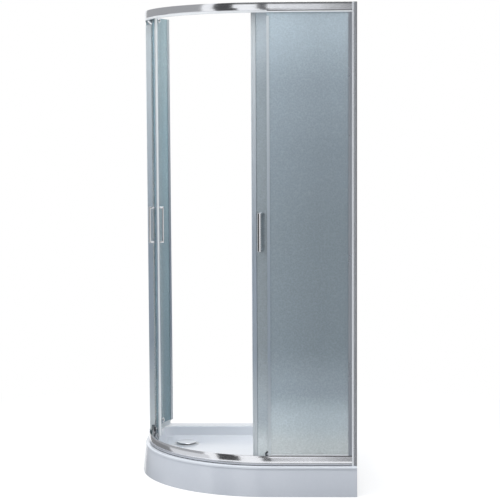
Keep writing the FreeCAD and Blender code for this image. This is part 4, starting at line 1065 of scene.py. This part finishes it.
def make_stage():
    """A plain pale floor that runs out to white and keeps the enclosure's soft shadow."""
    build = bmesh.new()
    bmesh.ops.create_grid(build, x_segments=1, y_segments=1, size=40)
    floor = place_object("floor", mesh_from(build, "floor"))
    floor.location = (0, 0, -FLOOR_DROP)
    material = bpy.data.materials.new("floor")
    tree = bare_tree(material)
    seen = seen_by(tree, "Is Camera Ray", "Is Transmission Ray")
    diffuse = add(tree, "ShaderNodeBsdfDiffuse", {"Color": FLOOR_TONE})
    strength = math_node(tree, "MULTIPLY", seen, FLOOR_GLOW)
    glow = add(tree, "ShaderNodeEmission", {"Color": WHITE, "Strength": strength})
    near = add(tree, "ShaderNodeAddShader", {0: diffuse.outputs[0], 1: glow.outputs[0]})
    far = add(tree, "ShaderNodeEmission", {"Color": WHITE, "Strength": 1.0})
    where = add(tree, "ShaderNodeTexCoord").outputs["Object"]
    reach = add(tree, "ShaderNodeVectorMath", {0: where}, operation="LENGTH")
    fade = map_range(tree, reach.outputs["Value"], FADE_START, FADE_END)
    whole = mix_shaders(tree, math_node(tree, "MULTIPLY", fade, seen), near, far)
    add(tree, "ShaderNodeOutputMaterial", {0: whole})
    floor.data.materials.append(material)
    floor.visible_glossy = False


# Cards far round the studio: degrees from -Y towards -X, degrees above the horizon, and brightness.
CARDS = [
    ("left_grey_card", (64, 155), (-9, 60), 0.40),
    ("left_low_card", (60, 108), (-25, -9), 0.74),
    ("left_end_card", (108, 155), (-25, -9), 0.24),
    ("left_dark_card", (34, 52.5), (-1, 60), 0.08),
    ("left_low_dark_card", (30, 51), (-25, -1), 0.08),
    ("front_grey_card", (4, 12.5), (-6, 60), 0.13),
    ("front_low_grey_card", (1.2, 9.5), (-25, -6), 0.11),
    ("front_pale_card", (-1.6, 1.2), (-25, 15), 1.0),
    ("right_grey_card", (-22, -1.6), (-25, 15), 0.24),
    ("right_dark_card", (-100, -36), (-22, 60), 0.12),
    ("back_dark_card", (-150, -115), (-22, 60), 0.15),
    ("front_top_card", (-36, 34), (15, 40), 0.16),
]
CARD_REACH = 40.0
CARD_GAP = 0.3
CARD_LEVEL = 1.0
CARD_STRIP = 3
CARD_TINT = (0.98, 0.985, 1.0)


def make_cards():
    """Grey and dark cards that only polished surfaces mirror, with the white surroundings between them."""
    for index, (name, (start, finish), height, grey) in enumerate(CARDS):
        reach = CARD_REACH + CARD_GAP * index
        steps = max(2, int((finish - start) / CARD_STRIP))
        columns = []
        for step in range(steps + 1):
            turn = math.radians(start + (finish - start) * step / steps)
            columns.append([(-reach * math.sin(turn), -reach * math.cos(turn),
                             CARD_LEVEL + reach * math.tan(math.radians(degrees))) for degrees in height])
        build = bmesh.new()
        skin(build, columns, closed=False)
        card = place_object(name, mesh_from(build, name))
        material = bpy.data.materials.new(name)
        tree = bare_tree(material)
        material.cycles.emission_sampling = "NONE"
        glow = add(tree, "ShaderNodeEmission", {"Color": (*[share * grey for share in CARD_TINT], 1)})
        add(tree, "ShaderNodeOutputMaterial", {0: glow.outputs[0]})
        card.data.materials.append(material)
        card.visible_camera = False
        card.visible_diffuse = False
        card.visible_transmission = False
        card.visible_volume_scatter = False
        card.visible_shadow = False


def make_world():
    """Soft even light; the camera, polished metal and glass see plain white."""
    world = bpy.data.worlds.new("studio")
    bpy.context.scene.world = world
    tree = bare_tree(world)
    fill = add(tree, "ShaderNodeBackground", {"Color": FILL_TONE, "Strength": FILL_STRENGTH})
    white = add(tree, "ShaderNodeBackground", {"Color": WHITE, "Strength": 1.0})
    seen = seen_by(tree, "Is Camera Ray", "Is Transmission Ray", "Is Glossy Ray")
    add(tree, "ShaderNodeOutputWorld", {0: mix_shaders(tree, seen, fill, white)})


def area_light(name, at, aim, width, power):
    """A soft square lamp aimed at a point."""
    data = bpy.data.lights.new(name, "AREA")
    data.shape = "RECTANGLE"
    data.size = width
    data.size_y = width
    data.energy = power
    lamp = place_object(name, data)
    lamp.location = at
    lamp.rotation_mode = "QUATERNION"
    lamp.rotation_quaternion = (Vector(aim) - Vector(at)).to_track_quat("-Z", "Y")
    return lamp


def make_lights():
    """A key lamp from the left, which polished metal doesn't mirror, and a broad one from above."""
    key = area_light("key", (-2.4, -1.5, 2.9), (0, 0, 0.9), 1.6, 38)
    key.visible_glossy = False
    area_light("top", (0.2, -0.9, 4.4), (0, 0, 0.1), 2.4, 72)


# ---------------------------------------------------------------- build

bpy.context.scene.view_settings.view_transform = "Standard"
make_camera()
MATERIALS = make_materials()
dress_nodes(MATERIALS)
make_tray(MATERIALS["acrylic"])
make_apron(MATERIALS["apron"])
make_rails(MATERIALS["rail"], MATERIALS["satin_lip"], MATERIALS["bead"], MATERIALS["rubber"])
make_glazing_beads(MATERIALS["bead"], MATERIALS["rubber"])
make_wall_profiles(MATERIALS["profile"], MATERIALS["painted_shade_profile_side"])
make_fixed_glass(MATERIALS["fixed_glass"], MATERIALS["glass_edge"])
DOOR_FACES = {"right": MATERIALS["door_glass"], "left": MATERIALS["left_door_glass"]}
make_door_glass(DOOR_FACES, MATERIALS["glass_edge"])
make_handles(MATERIALS["chrome"])
make_leading_seals(MATERIALS["seal"], MATERIALS["magnet"])
make_waste_cover(MATERIALS["chrome"], MATERIALS["acrylic"])
make_roller_caps(MATERIALS["chrome"])
make_stage()
make_cards()
make_world()
make_lights()
